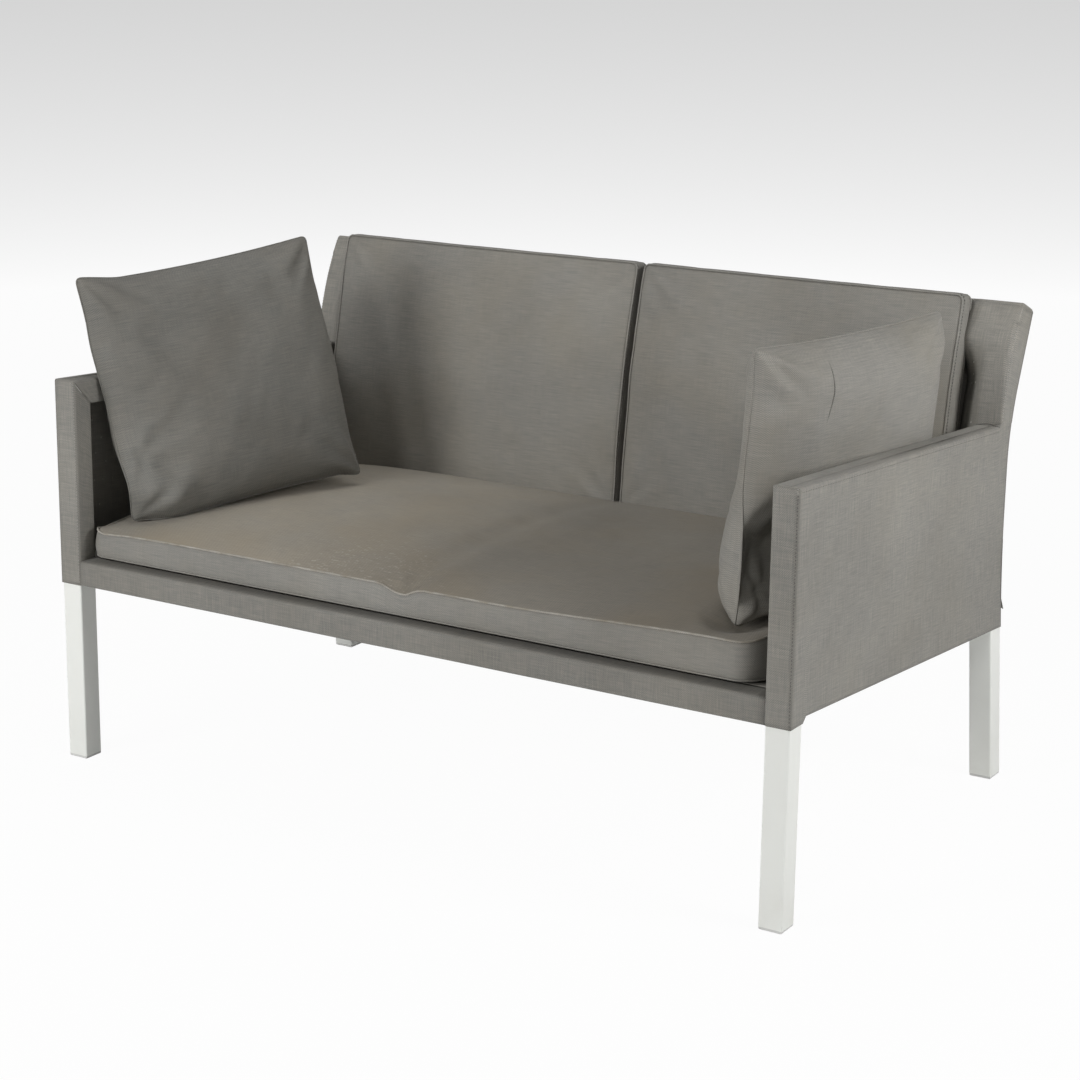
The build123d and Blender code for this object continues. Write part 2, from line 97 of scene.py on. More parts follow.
x_axis = Vector((1, 0, 0))
arm_dir = Vector((0, cos(arm_fall), -sin(arm_fall)))
arm_up = Vector((0, sin(arm_fall), cos(arm_fall)))
seat_dir = Vector((0, cos(seat_rake), -sin(seat_rake)))
seat_up = Vector((0, sin(seat_rake), cos(seat_rake)))
mitre_slope = (1 + sin(arm_fall)) / cos(arm_fall)


def clamp(value, low, high):
    return max(low, min(high, value))


def smooth(value):
    """0 to 1 with soft ends."""
    value = clamp(value, 0, 1)
    return value * value * (3 - 2 * value)


def bump(value, middle, width):
    """A soft hill: 1 at the middle, 0 beyond the width on either side."""
    return smooth(1 - abs(value - middle) / width)


def ripple(point, size, seed=0.0):
    """Even noise, about -1 to 1, over lengths of that size."""
    return noise.noise(Vector(point) / size + Vector((seed, 2 * seed, -seed)))


def blend(share, low, high):
    return low + (high - low) * share


def mound(x, y, place_x, place_y, reach):
    """A soft round hill: 1 at its place, 0 beyond its reach."""
    away = ((x - place_x) ** 2 + (y - place_y) ** 2) ** 0.5
    return smooth(1 - away / reach)


def arch(share, start, middle, end):
    """A bow through three heights: at 0, at a half and at 1."""
    rise = start * (share - 0.5) * (share - 1) * 2 + middle * share * (1 - share) * 4
    return rise + end * share * (share - 0.5) * 2


def placed(name, data):
    """A new object in the scene."""
    made = bpy.data.objects.new(name, data)
    bpy.context.scene.collection.objects.link(made)
    return made


# Materials


class Board:
    """Adds nodes to a node tree and links them."""

    def __init__(self, tree):
        self.tree = tree

    def feed(self, socket, value):
        if isinstance(value, bpy.types.NodeSocket):
            self.tree.links.new(value, socket)
        else:
            socket.default_value = value

    def add(self, kind, sockets=None, **settings):
        made = self.tree.nodes.new(kind)
        for name, value in settings.items():
            setattr(made, name, value)
        for name, value in (sockets or {}).items():
            self.feed(made.inputs[name], value)
        return made

    def math(self, operation, *values):
        made = self.add("ShaderNodeMath", operation=operation)
        for socket, value in zip(made.inputs, values):
            self.feed(socket, value)
        return made.outputs[0]

    def stretch(self, vector, scale):
        made = self.add("ShaderNodeVectorMath", {0: vector, 1: scale}, operation="MULTIPLY")
        return made.outputs[0]

    def noise(self, vector, scale, detail=2.0, roughness=0.5):
        sockets = {"Vector": vector, "Scale": scale, "Detail": detail, "Roughness": roughness}
        return self.add("ShaderNodeTexNoise", sockets).outputs["Fac"]

    def ramp(self, value, low, high, to_low=0.0, to_high=1.0):
        sockets = {"Value": value, "From Min": low, "From Max": high, "To Min": to_low, "To Max": to_high}
        return self.add("ShaderNodeMapRange", sockets, clamp=True).outputs[0]

    def grey(self, value):
        return self.add("ShaderNodeCombineColor", {0: value, 1: value, 2: value}).outputs[0]

    def object_place(self):
        """Place in the object's own metres."""
        return self.add("ShaderNodeTexCoord").outputs["Object"]

    def distance(self, place, middle):
        sockets = {0: place, 1: middle}
        return self.add("ShaderNodeVectorMath", sockets, operation="DISTANCE").outputs["Value"]

    def relief(self, surface, height, strength, distance):
        """Fine relief of a surface; the distance is in metres."""
        sockets = {"Height": height, "Strength": strength, "Distance": distance}
        self.feed(surface.inputs["Normal"], self.add("ShaderNodeBump", sockets).outputs[0])

    def mix(self, share, low, high, blend_type="MIX"):
        made = self.add("ShaderNodeMix", data_type="RGBA", blend_type=blend_type)
        self.feed(made.inputs[0], share)
        self.feed(made.inputs[6], low)
        self.feed(made.inputs[7], high)
        return made.outputs[2]


def group(name, inputs, outputs):
    """An empty shader node group with its named sockets, its board and its two ends."""
    tree = bpy.data.node_groups.new(name, "ShaderNodeTree")
    for socket, kind, value in inputs:
        made = tree.interface.new_socket(socket, in_out="INPUT", socket_type="NodeSocket" + kind)
        if value is not None:
            made.default_value = value
    for socket, kind in outputs:
        tree.interface.new_socket(socket, in_out="OUTPUT", socket_type="NodeSocket" + kind)
    board = Board(tree)
    start, end = board.add("NodeGroupInput"), board.add("NodeGroupOutput")
    return tree, board, start.outputs, end.inputs


def woven_mesh():
    """Plain weave of coated yarn with slubs; the coordinates are metres along the two yarns."""
    tree, board, start, end = group(
        "woven_mesh",
        [
            ("Yarns", "Vector", None),
            ("Pitch", "Float", 0.0032),
            ("Slubs", "Float", 1.0),
            ("Cross slubs", "Float", 0.4),
            ("Warm yarn", "Color", (0.3, 0.27, 0.24, 1)),
            ("Cool yarn", "Color", (0.24, 0.24, 0.23, 1)),
        ],
        [("Color", "Color"), ("Height", "Float"), ("Thread", "Float")],
    )
    yarns = start["Yarns"]
    turns = board.math("DIVIDE", 2 * pi, start["Pitch"])
    parts = board.add("ShaderNodeSeparateXYZ", {0: yarns}).outputs
    across = board.math("SINE", board.math("MULTIPLY", parts[0], turns))
    along = board.math("SINE", board.math("MULTIPLY", parts[1], turns))
    thread = board.math("MULTIPLY", across, along)
    streaks = board.noise(board.stretch(yarns, (24, 620, 1)), 1.0, 3.0, 0.6)
    fine = board.noise(board.stretch(yarns, (60, 1500, 1)), 1.0, 1.0)
    cross = board.noise(board.stretch(yarns, (560, 22, 1)), 1.0, 2.0, 0.6)
    slub = board.math("MULTIPLY", board.math("SUBTRACT", streaks, 0.5), start["Slubs"])
    slub = board.math("ADD", slub, board.math("MULTIPLY", board.math("SUBTRACT", fine, 0.5), 0.35))
    other = board.math("MULTIPLY", board.math("SUBTRACT", cross, 0.5), start["Cross slubs"])
    slub = board.math("ADD", slub, other)
    share = board.math("ADD", board.math("MULTIPLY", thread, 0.45), 0.5)
    share = board.math("ADD", share, board.math("MULTIPLY", slub, 1.2))
    share = board.ramp(share, 0.0, 1.0)
    colour = board.mix(share, start["Cool yarn"], start["Warm yarn"])
    value = board.math("ADD", 1.0, board.math("MULTIPLY", slub, 0.55))
    value = board.math("ADD", value, board.math("MULTIPLY", thread, 0.19))
    board.feed(end["Color"], board.mix(1.0, colour, board.grey(value), "MULTIPLY"))
    height = board.math("ADD", board.math("MULTIPLY", thread, 0.5), slub)
    board.feed(end["Height"], height)
    board.feed(end["Thread"], thread)
    return tree


def weathering():
    """Broad patches of stain and fading over the object, in metres."""
    tree, board, start, end = group(
        "weathering",
        [("Place", "Vector", None), ("Size", "Float", 6.0), ("Amount", "Float", 0.3)],
        [("Stain", "Float"), ("Fade", "Float")],
    )
    broad = board.noise(start["Place"], start["Size"], 4.0, 0.55)
    moved = board.stretch(start["Place"], (1.3, 1.1, 1.7))
    other = board.noise(moved, board.math("MULTIPLY", start["Size"], 0.45), 3.0, 0.5)
    board.feed(end["Stain"], board.math("MULTIPLY", board.ramp(broad, 0.42, 0.72), start["Amount"]))
    board.feed(end["Fade"], board.ramp(other, 0.35, 0.7, 0.9, 1.08))
    return tree


def material(name):
    made = bpy.data.materials.new(name)
    made.use_nodes = True
    board = Board(made.node_tree)
    surface = made.node_tree.nodes["Principled BSDF"]
    return made, board, surface


def mesh_fabric(
    name, warm, cool, stain, stain_amount, slubs=1.0, cross_slubs=0.4, patch=6.0, bleached_and_lit_spot=None, flecks=None,
):
    """Woven mesh in its two yarn colours, with patches of a stain colour.
    the lighter spot is given as (place, reach, brightness): partly bleaching by use and sun, partly painted
    light;
    flecks is (place, reach) of rubbed yarns."""
    made, board, surface = material(name)
    yarns = board.add("ShaderNodeTexCoord").outputs["UV"]
    place = board.object_place()
    weave = board.add("ShaderNodeGroup", node_tree=weave_group)
    for socket, value in (("Yarns", yarns), ("Slubs", slubs), ("Cross slubs", cross_slubs),
                          ("Warm yarn", warm), ("Cool yarn", cool)):
        board.feed(weave.inputs[socket], value)
    worn = board.add("ShaderNodeGroup", node_tree=weather_group)
    board.feed(worn.inputs["Place"], place)
    board.feed(worn.inputs["Size"], patch)
    board.feed(worn.inputs["Amount"], stain_amount)
    colour = board.mix(worn.outputs["Stain"], weave.outputs["Color"], stain)
    if flecks:
        middle, reach = flecks
        away = board.distance(place, middle)
        rubbed = board.ramp(board.noise(board.stretch(place, (0.35, 1.0, 1.6)), 300.0, 3.0), 0.60, 0.68)
        rubbed = board.math("MULTIPLY", rubbed, board.ramp(away, reach * 0.4, reach, 0.5, 0.0))
        colour = board.mix(rubbed, colour, rubbed_yarn)
    fade = worn.outputs["Fade"]
    # A lighter patch: partly bleached by use and sun, partly painted light.
    if bleached_and_lit_spot:
        middle, reach, bright = bleached_and_lit_spot
        away = board.distance(place, middle)
        spot = board.ramp(away, reach * 0.75, reach * 1.15, bright, 1.0)
        fade = board.math("MULTIPLY", fade, spot)
    board.feed(surface.inputs["Base Color"], board.mix(1.0, colour, board.grey(fade), "MULTIPLY"))
    board.feed(surface.inputs["Roughness"], board.ramp(weave.outputs["Thread"], -1.0, 1.0, 0.72, 0.58))
    surface.inputs["Specular IOR Level"].default_value = 0.3
    surface.inputs["Sheen Weight"].default_value = 0.05
    board.relief(surface, weave.outputs["Height"], 0.35, 0.0006)
    return made


def powder_coat():
    """Satin white paint with a fine orange peel and grime near the floor."""
    made, board, surface = material("powder_coat")
    place = board.object_place()
    peel = board.noise(place, 700.0, 2.0)
    grime = board.noise(place, 9.0, 5.0, 0.6)
    height = board.add("ShaderNodeSeparateXYZ", {0: place}).outputs[2]
    low = board.math("MULTIPLY", board.ramp(height, 0.0, 0.09, 1.0, 0.0), board.ramp(grime, 0.4, 0.7))
    low = board.math("ADD", board.math("MULTIPLY", low, 0.3), board.ramp(grime, 0.5, 0.9, 0.0, 0.12))
    colour = board.mix(low, (0.86, 0.87, 0.83, 1), (0.64, 0.62, 0.56, 1))
    board.feed(surface.inputs["Base Color"], colour)
    board.feed(surface.inputs["Roughness"], board.ramp(grime, 0.3, 0.8, 0.36, 0.5))
    board.relief(surface, peel, 0.12, 0.0003)
    return made


def moulded_plastic():
    made, board, surface = material("moulded_plastic")
    place = board.object_place()
    grain = board.noise(place, 900.0, 3.0)
    patch = board.noise(place, 40.0, 2.0)
    board.feed(surface.inputs["Base Color"], board.mix(patch, (0.62, 0.62, 0.60, 1), (0.70, 0.70, 0.68, 1)))
    board.feed(surface.inputs["Roughness"], board.ramp(grain, 0.3, 0.7, 0.5, 0.65))
    board.relief(surface, grain, 0.2, 0.0002)
    return made


def bolt_steel():
    made, board, surface = material("bolt_steel")
    place = board.object_place()
    patch = board.noise(place, 260.0, 3.0)
    board.feed(surface.inputs["Base Color"], board.mix(patch, (0.50, 0.50, 0.49, 1), (0.66, 0.65, 0.63, 1)))
    board.feed(surface.inputs["Roughness"], board.ramp(patch, 0.3, 0.7, 0.28, 0.5))
    surface.inputs["Metallic"].default_value = 1.0
    return made


def thread(name, colour):
    made, board, surface = material(name)
    place = board.object_place()
    ply = board.noise(place, 1500.0, 1.0)
    darker = tuple(part * 0.75 for part in colour[:3]) + (1,)
    board.feed(surface.inputs["Base Color"], board.mix(ply, darker, colour))
    surface.inputs["Roughness"].default_value = 0.6
    return made


weave_group = woven_mesh()
weather_group = weathering()
rubbed_yarn = (0.46, 0.43, 0.37, 1)
cover_fabric = mesh_fabric(
    "cover_fabric", (0.285, 0.266, 0.232, 1), (0.238, 0.239, 0.226, 1), (0.25, 0.228, 0.18, 1), 0.25,
    slubs=1.1, cross_slubs=1.0,
)
cushion_fabric = mesh_fabric(
    "cushion_fabric", (0.262, 0.245, 0.214, 1), (0.215, 0.216, 0.204, 1), (0.24, 0.21, 0.155, 1), 0.3,
)
# Painted shade: a darker copy of the cover fabric for the front rail's sleeve, standing in for the shade
# under the seat cushion's overhang.
rail_fabric_painted_shade = mesh_fabric(
    "rail_fabric_painted_shade", (0.240, 0.224, 0.195, 1), (0.200, 0.201, 0.190, 1), (0.21, 0.19, 0.15, 1), 0.25,
    slubs=1.1, cross_slubs=1.0,
)
# Painted light and shade: both pillows are of one fabric; the left copy is darkened with painted shade and
# the right copy lightened with painted light.
pillow_lit_and_shaded_copies = {
    "left": mesh_fabric(
        "pillow_shaded_copy_left", (0.190, 0.179, 0.157, 1), (0.156, 0.159, 0.149, 1), (0.18, 0.155, 0.12, 1), 0.3,
        slubs=1.2,
    ),
    "right": mesh_fabric(
        "pillow_lit_copy_right", (0.302, 0.283, 0.250, 1), (0.250, 0.251, 0.238, 1), (0.27, 0.24, 0.18, 1), 0.3,
    ),
}
# The seat's left lobe is lightened: partly sun-bleached wear, partly painted light from the side lamp, which
# the right arm and pillow keep off the right lobe.
seat_fabric = mesh_fabric(
    "seat_fabric", (0.272, 0.242, 0.196, 1), (0.222, 0.213, 0.190, 1), (0.26, 0.215, 0.15, 1), 0.55,
    patch=4.0, bleached_and_lit_spot=((-0.42, -0.1, 0.43), 0.46, 1.38), flecks=((-0.1, -0.40, 0.415), 0.22),
)
boxing_fabric = mesh_fabric(
    "boxing_fabric", (0.272, 0.256, 0.226, 1), (0.222, 0.224, 0.213, 1), (0.25, 0.22, 0.17, 1), 0.25,
)
worn_fabric = mesh_fabric(
    "worn_fabric", (0.44, 0.41, 0.36, 1), (0.32, 0.305, 0.275, 1), (0.24, 0.21, 0.16, 1), 0.9, patch=34.0,
)
paint = powder_coat()
plastic = moulded_plastic()
steel = bolt_steel()
dark_thread = thread("dark_thread", (0.10, 0.095, 0.085, 1))
light_thread = thread("light_thread", (0.42, 0.40, 0.37, 1))
# Near-white yarn for dots of painted light, where light shines through pinholes in the mesh.
pinhole_light_pale = thread("pinhole_light_pale", (0.85, 0.83, 0.78, 1))

# The hard pieces keep their solids and get their finish
for name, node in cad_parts.items():
    finish = paint
    if "glide" in name or "cap" in name:
        finish = plastic
    if name == "frame_bolts":
        finish = steel
    node.data.materials.clear()
    node.data.materials.append(finish)


# Making pieces


def make_piece(name, points, faces, uvs, body, finish, nodes=()):
    """A mesh object of the bench that rides on a body and stands for its CAD nodes."""
    mesh = bpy.data.meshes.new(name)
    mesh.from_pydata([tuple(p) for p in points], [], faces)
    mesh.update()
    if uvs is not None:
        layer = mesh.uv_layers.new(name="UVMap")
        layer.data.foreach_set("uv", np.array(uvs, np.float32).ravel())
    mesh.shade_smooth()
    mesh.materials.append(finish)
    made = placed(name, mesh)
    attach(made, body)
    if nodes:
        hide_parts(*nodes)
    return made


def steps(rows):
    """Distances along a list of points from its first."""
    out = [0.0]
    for a, b in zip(rows, rows[1:]):
        out.append(out[-1] + (b - a).length)
    return out


def cover_piece(name, rows, *carriers, upright=False, finish=cover_fabric):
    """A sheet of cover fabric from a grid of points, its coordinates in metres along both yarns.
    It lies tight over the pieces that carry it; their names are passed in but not used."""
    count = len(rows[0])
    points = [p for row in rows for p in row]
    along = steps([row[count // 2] for row in rows])
    across = steps(rows[len(rows) // 2])
    faces, uvs = [], []
    for i in range(len(rows) - 1):
        for j in range(count - 1):
            corners = [(i, j), (i, j + 1), (i + 1, j + 1), (i + 1, j)]
            faces.append([a * count + b for a, b in corners])
            uvs += [(along[a], across[b]) if upright else (across[b], along[a]) for a, b in corners]
    made = make_piece(name + "_cloth", points, faces, uvs, "frame", finish, [name])
    solid = made.modifiers.new("sheet", "SOLIDIFY")
    solid.thickness = sheet
    solid.offset = 0
    widest = max(steps(row)[-1] for row in rows)
    longest = max(steps([row[k] for row in rows])[-1] for k in range(count))
    return made


def sleeve_outline(half, corners, turns=4):
    """Points round a square tube of that half width, through its corners, given as signs.
    The cloth is folded round all but the first and the last."""
    points = []
    for k, corner in enumerate(corners):
        here = Vector(corner) * half
        if k in (0, len(corners) - 1):
            points.append(here)
            continue
        before = (Vector(corners[k - 1]) * half - here).normalized()
        after = (Vector(corners[k + 1]) * half - here).normalized()
        centre = here + (before + after) * fold_radius
        for step in range(turns + 1):
            angle = pi / 2 * step / turns
            points.append(centre - (after * cos(angle) + before * sin(angle)) * fold_radius)
    # Points are added so that no step is long
    out = [points[0]]
    for a, b in zip(points, points[1:]):
        count = max(1, ceil((b - a).length / wrap_step))
        out += [a + (b - a) * (k + 1) / count for k in range(count)]
    return out


def span(low, high, spacing):
    """Even places from low to high, at most that spacing apart."""
    count = max(2, ceil(abs(high - low) / spacing))
    return [low + (high - low) * k / count for k in range(count + 1)]


def tube_mesh(line, radius, closed, sides=8):
    """Points and faces of a round cord along a line of points."""
    points, faces = [], []
    count = len(line)
    normal = None
    for k, place in enumerate(line):
        ahead = line[(k + 1) % count] if closed or k < count - 1 else place
        behind = line[k - 1] if closed or k > 0 else place
        tangent = (ahead - behind).normalized()
        if normal is None:
            normal = tangent.orthogonal().normalized()
        normal = (normal - tangent * normal.dot(tangent)).normalized()
        other = tangent.cross(normal)
        for side in range(sides):
            angle = 2 * pi * side / sides
            points.append(place + (normal * cos(angle) + other * sin(angle)) * radius)
    for k in range(count if closed else count - 1):
        for side in range(sides):
            a, b = k * sides + side, k * sides + (side + 1) % sides
            c, d = ((k + 1) % count) * sides + (side + 1) % sides, ((k + 1) % count) * sides + side
            faces.append([a, b, c, d])
    if not closed:
        faces.append(list(range(sides))[::-1])
        faces.append([len(points) - sides + side for side in range(sides)])
    return points, faces


def piping(name, line, radius, body, finish, closed=True):
    """A sewn edge or crease of a cushion: a thin roll of fabric."""
    points, faces = tube_mesh(line, radius, closed)
    uvs = [(points[v].x, points[v].z + points[v].y) for face in faces for v in face]
    make_piece(name, points, faces, uvs, body, finish)


def seam_line(name, line, radius, finish):
    """A thin sewn line that lies on a cover."""
    points, faces = tube_mesh(line, radius, False, sides=6)
    make_piece(name, points, faces, None, "frame", finish)


def stitch_places(line):
    """The middle of each stitch along a line, and the line's direction there."""
    lengths = steps(line)
    out = []
    spot = 0
    for k in range(int(lengths[-1] / stitch_pitch)):
        want = (k + 0.5) * stitch_pitch
        while spot < len(lengths) - 2 and lengths[spot + 1] < want:
            spot += 1
        gap = max(lengths[spot + 1] - lengths[spot], 1e-9)
        share = (want - lengths[spot]) / gap
        out.append((line[spot].lerp(line[spot + 1], share), (line[spot + 1] - line[spot]).normalized()))
    return out


def stitches(name, line, outward, finish, body="frame"):
    """A row of single stitches along a line, lying on the side that outward points to."""
    stitch_marks(name, stitch_places(line), outward, finish, body)


def stitch_marks(name, marks, outward, finish, body="frame"):
    """Single stitches at (place, direction) marks."""
    points, faces = [], []
    for place, tangent in marks:
        face = (outward - tangent * outward.dot(tangent)).normalized()
        side = tangent.cross(face)
        base = len(points)
        for along, swell in ((-1, 0.4), (0, 1.0), (1, 0.4)):
            middle = place + tangent * (along * stitch_length / 2)
            for a, b in ((1, 0), (0, 1), (-1, 0), (0, -1)):
                points.append(middle + (side * a + face * b) * (stitch_width / 2 * swell))
        for ring in range(2):
            for k in range(4):
                low, high = base + ring * 4, base + (ring + 1) * 4
                faces.append([low + k, low + (k + 1) % 4, high + (k + 1) % 4, high + k])
        faces.append([base + 3, base + 2, base + 1, base])
        faces.append([base + 8, base + 9, base + 10, base + 11])
    make_piece(name, points, faces, None, body, finish)


# The bent post's centreline in the side view


def bent_line(corners, radii, turn_steps=14):
    """Points of a line whose inner corners are rounded."""
    points = [corners[0]]
    for k, radius in enumerate(radii):
        before, here, after = corners[k], corners[k + 1], corners[k + 2]
        first, second = (here - before).normalized(), (after - here).normalized()
        turn = first.angle(second)
        reach = radius * tan(turn / 2)
        side = 1 if first.cross(second) > 0 else -1
        start = here - first * reach
        centre = start + Vector((-first.y, first.x)) * (radius * side)
        for step in range(turn_steps + 1):
            angle = turn * step / turn_steps * side
            arm = start - centre
            spun = Vector((arm.x * cos(angle) - arm.y * sin(angle), arm.x * sin(angle) + arm.y * cos(angle)))
            points.append(centre + spun)
    points.append(corners[-1])
    return points


post_line = bent_line(
    [
        Vector((upright_y + knee_height * tan(foot_rake), 0)),
        Vector((upright_y, knee_height)),
        Vector((upright_y, lean_height)),
        Vector((upright_y + (post_top - lean_height) * tan(back_lean), post_top)),
    ],
    [knee_radius, lean_radius],
)
line_z = np.array([p.y for p in post_line])
line_y = np.array([p.x for p in post_line])


def post_point(height, rearward):
    """(y, z) beside the post's centreline: square to it, at the centreline's height."""
    low, high = max(height - 0.004, line_z[0]), min(height + 0.004, line_z[-1])
    lean = np.interp(high, line_z, line_y) - np.interp(low, line_z, line_y)
    tangent = Vector((lean, high - low)).normalized()
    normal = Vector((tangent.y, -tangent.x))
    return Vector((float(np.interp(height, line_z, line_y)), height)) + normal * rearward


def post_face_y(z, rearward):
    """Y, at a height, of the surface that lies that far behind the post's centreline."""
    height = z
    for _ in range(3):
        height += z - post_point(height, rearward).y
    return post_point(height, rearward).x


def arm_lid_z(y):
    """Height of the cloth on top of the arm."""
    return arm_height + cover - (y - y_front) * tan(arm_fall)


def hem_z(y):
    """Height of the side panel's hem: the underside of the raked side rail."""
    base = rail_top - side_rail_height - cover - 0.0005
    return base - (y - leg_rear) * tan(seat_rake)


def mitre_z(y):
    """Height of the mitre between the front leg and the arm rail."""
    return arm_height - mitre_slope * (y - y_front)


# Covers


def round_drop(x, half, radius):
    """How far a rounded edge lies below its flat, at a place across it."""
    over = max(0.0, abs(x) - (half - radius))
    return radius - (max(0.0, radius * radius - over * over)) ** 0.5


def arm_front_sleeve(side, tag):
    """Strip on the leg's front that goes round its inner side and rear."""
    outline = sleeve_outline(wrap, ((1, -1), (-1, -1), (-1, 1), (1, 1)))
    rows = []
    low = rail_bottom - cover
    for share in span(0, 1, strip_share):
        row = []
        for p in outline:
            y = leg_y + p.y
            top = mitre_z(y) - round_drop(p.x, wrap, fold_radius) * (p.y < 0.018 - wrap) + 0.0004
            row.append(Vector((side * (x_mid + p.x), y, blend(share, low, top))))
        rows.append(row)
    cover_piece("arm_front_sleeve_" + tag, rows, "front_leg_" + tag, upright=True)


def arm_top_sleeve(side, tag):
    """Sleeve over the arm rail: its top, inner side and underside, from the mitre to the post."""
    outline = sleeve_outline(wrap, ((0.8, 1), (-1, 1), (-1, -1), (1, -1)))
    base = Vector((0, y_front, arm_height)) - arm_up * (tube / 2)
    rows = []
    for share in span(0, 1, sleeve_share):
        row = []
        for p in outline:
            lift = base + arm_up * p.y
            # From the mitre with the leg to the post's front
            start = (mitre_z(lift.y) - lift.z) / (arm_dir.z + mitre_slope * arm_dir.y) - 0.0008
            end = (upright_y - wrap - lift.y) / arm_dir.y
            for _ in range(2):
                end = (post_face_y(lift.z + arm_dir.z * end, -wrap) + 0.0006 - lift.y) / arm_dir.y
            place = lift + arm_dir * blend(share, start, end)
            row.append(Vector((side * (x_mid + p.x), place.y, place.z)))
        rows.append(row)
    cover_piece("arm_top_sleeve_" + tag, rows, "arm_rail_" + tag)


def arm_side_panel(side, tag):
    """Sheet on the arm's outer side: folded over the arm rail, sewn to the back skin, open at its hem."""
    outer = cover_x - sheet / 2 + 0.0003
    y_start = y_front - cover + sheet / 2
    post_front = post_face_y(arm_lid_z(upright_y), -wrap)
    low_edge = rail_bottom - cover

    def over_rail(y):
        """1 over the arm rail, 0 beside the post."""
        return smooth((post_front - y) / 0.012)

    columns = span(0, 1, panel_share)
    profile = [0.0] + [blend(k / 30, 0.02, 1.0) for k in range(31)]
    rows = []
    for v in profile:
        row = []
        for u in columns:
            y = blend(u, y_start, upright_y + wrap)
            for _ in range(3):
                low = hem_z(y) if y > leg_rear + cover else low_edge
                z = blend(v, low, arm_lid_z(y) - fold_radius * over_rail(y))
                rear = post_face_y(z, wrap) - panel_seam_inset - 0.0022 * bump(z, 0.375, 0.06)
                y = blend(u, y_start, rear)
            slack = 0.0009 * ripple((0, y, z), 0.14, 4.0) * bump(u, 0.5, 0.5) * bump(v, 0.5, 0.5)
            row.append(Vector((side * (outer + slack), y, z)))
        rows.append(row)
    # Folded over the arm's outer top edge; beside the post it runs straight on
    flat = rows[-1]
    for step in range(1, 6):
        angle = pi / 2 * step / 5
        row = []
        for top in flat:
            over = over_rail(top.y)
            inward = fold_radius * (1 - cos(angle)) * over + 0.0004 * (step == 5)
            rise = fold_radius * sin(angle) * over + 0.001 * step * (1 - over)
            row.append(top + Vector((side * -inward, 0, rise)))
        rows.append(row)
    fold = rows[-1]
    for share in (0.5, 1.0):
        rows.append([p + Vector((side * -0.012 * share * over_rail(p.y), 0, -0.0002 * share)) for p in fold])
    return cover_piece("arm_side_panel_" + tag, rows, "arm_rail_" + tag, "side_rail_" + tag)


def front_flare(height):
    """How far the back's cover stands in front of the post's bend: it spans the hollow."""
    return least_flare + 0.014 * bump(height, 0.742, 0.12)


def post_fold_radius(flare):
    """The fold along the post's front outer corner is wider where the cover stands off."""
    return fold_radius + 0.62 * (flare - least_flare)


least_flare = 0.001
# How far the sleeve runs from the post towards the cushion before it meets the back skin
flap_reach = {"left": 0.009, "right": 0.046}
# Where the back cushions end, from the middle
cushion_end = {"left": 0.6455, "right": 0.6125}


def post_sleeve(side, tag):
    """Sleeve round the bent post: from the back skin over its front to its outer side."""
    reach = flap_reach[tag]
    rows = []
    for height in span(rail_top - 0.02, post_top - 0.0036, post_step):
        flare = front_flare(height)
        front = -wrap - flare
        radius = post_fold_radius(flare)
        sink = blend(smooth((height - 0.690) / 0.070), wrap - 0.002, front + 0.0004)
        outer = wrap + 0.0006 if height > lean_height + 0.006 else wrap - 0.0016
        outline = []
        for k in range(9):
            t = k / 8
            outline.append((-wrap - reach * (1 - t) ** 1.2, blend(smooth(t), sink, front + 0.0015)))
        for k in range(1, 6):
            outline.append((blend(k / 5, -wrap, outer - radius), blend(smooth(k / 2), front + 0.0015, front)))
        for k in range(1, 7):
            angle = pi / 2 * k / 6
            outline.append((outer - radius * (1 - sin(angle)), front + radius * (1 - cos(angle))))
        for k in range(1, 5):
            outline.append((outer, blend(k / 4, front + radius, wrap - fold_radius * 0.7)))
        # The part that spans the hollow waves a little
        row = []
        for x, y in outline:
            wave = 0.0012 * ripple((x, y, height), 0.05, 7.0) * (flare > 0.004)
            place = post_point(height, y + wave * (y < -wrap))
            row.append(Vector((side * (x_mid + x), place.x, place.y)))
        rows.append(row)
    return cover_piece("post_sleeve_" + tag, rows, "back_post_" + tag, upright=True)


def back_skin():
    """Sheet stretched behind both posts: folded round their rear corners, its hem standing off."""
    edge = cover_x - sheet / 2
    columns = []
    for k in range(5):
        angle = pi / 2 * k / 4
        columns.append((edge - fold_radius * (1 - cos(angle)), fold_radius * (1 - sin(angle))))
    columns += [(x, 0.0) for x in span(edge - fold_radius, 0, sleeve_step)[1:]]
    columns += [(-x, drop) for x, drop in columns[-2::-1]]
    rows = []
    for height in span(rail_top - 0.058, post_top - 0.002, edge_step):
        row = []
        for x, drop in columns:
            free = smooth((x_in - abs(x)) / 0.25)
            middle = bump(height, 0.57, 0.26)
            pull = -0.006 * free * middle + 0.0012 * free * ripple((x, 0, height), 0.16)
            hem = smooth((rail_top - 0.030 - height) / 0.030)
            flap = 0.011 * hem * (0.55 + 0.45 * smooth((abs(x) - 0.6) / 0.09))
            place = post_point(height, wrap + pull + flap - drop)
            row.append(Vector((x, place.x, place.y)))
        rows.append(row)
    cover_piece("back_skin", rows, "back_post_left", "back_post_right", "back_top_rail")


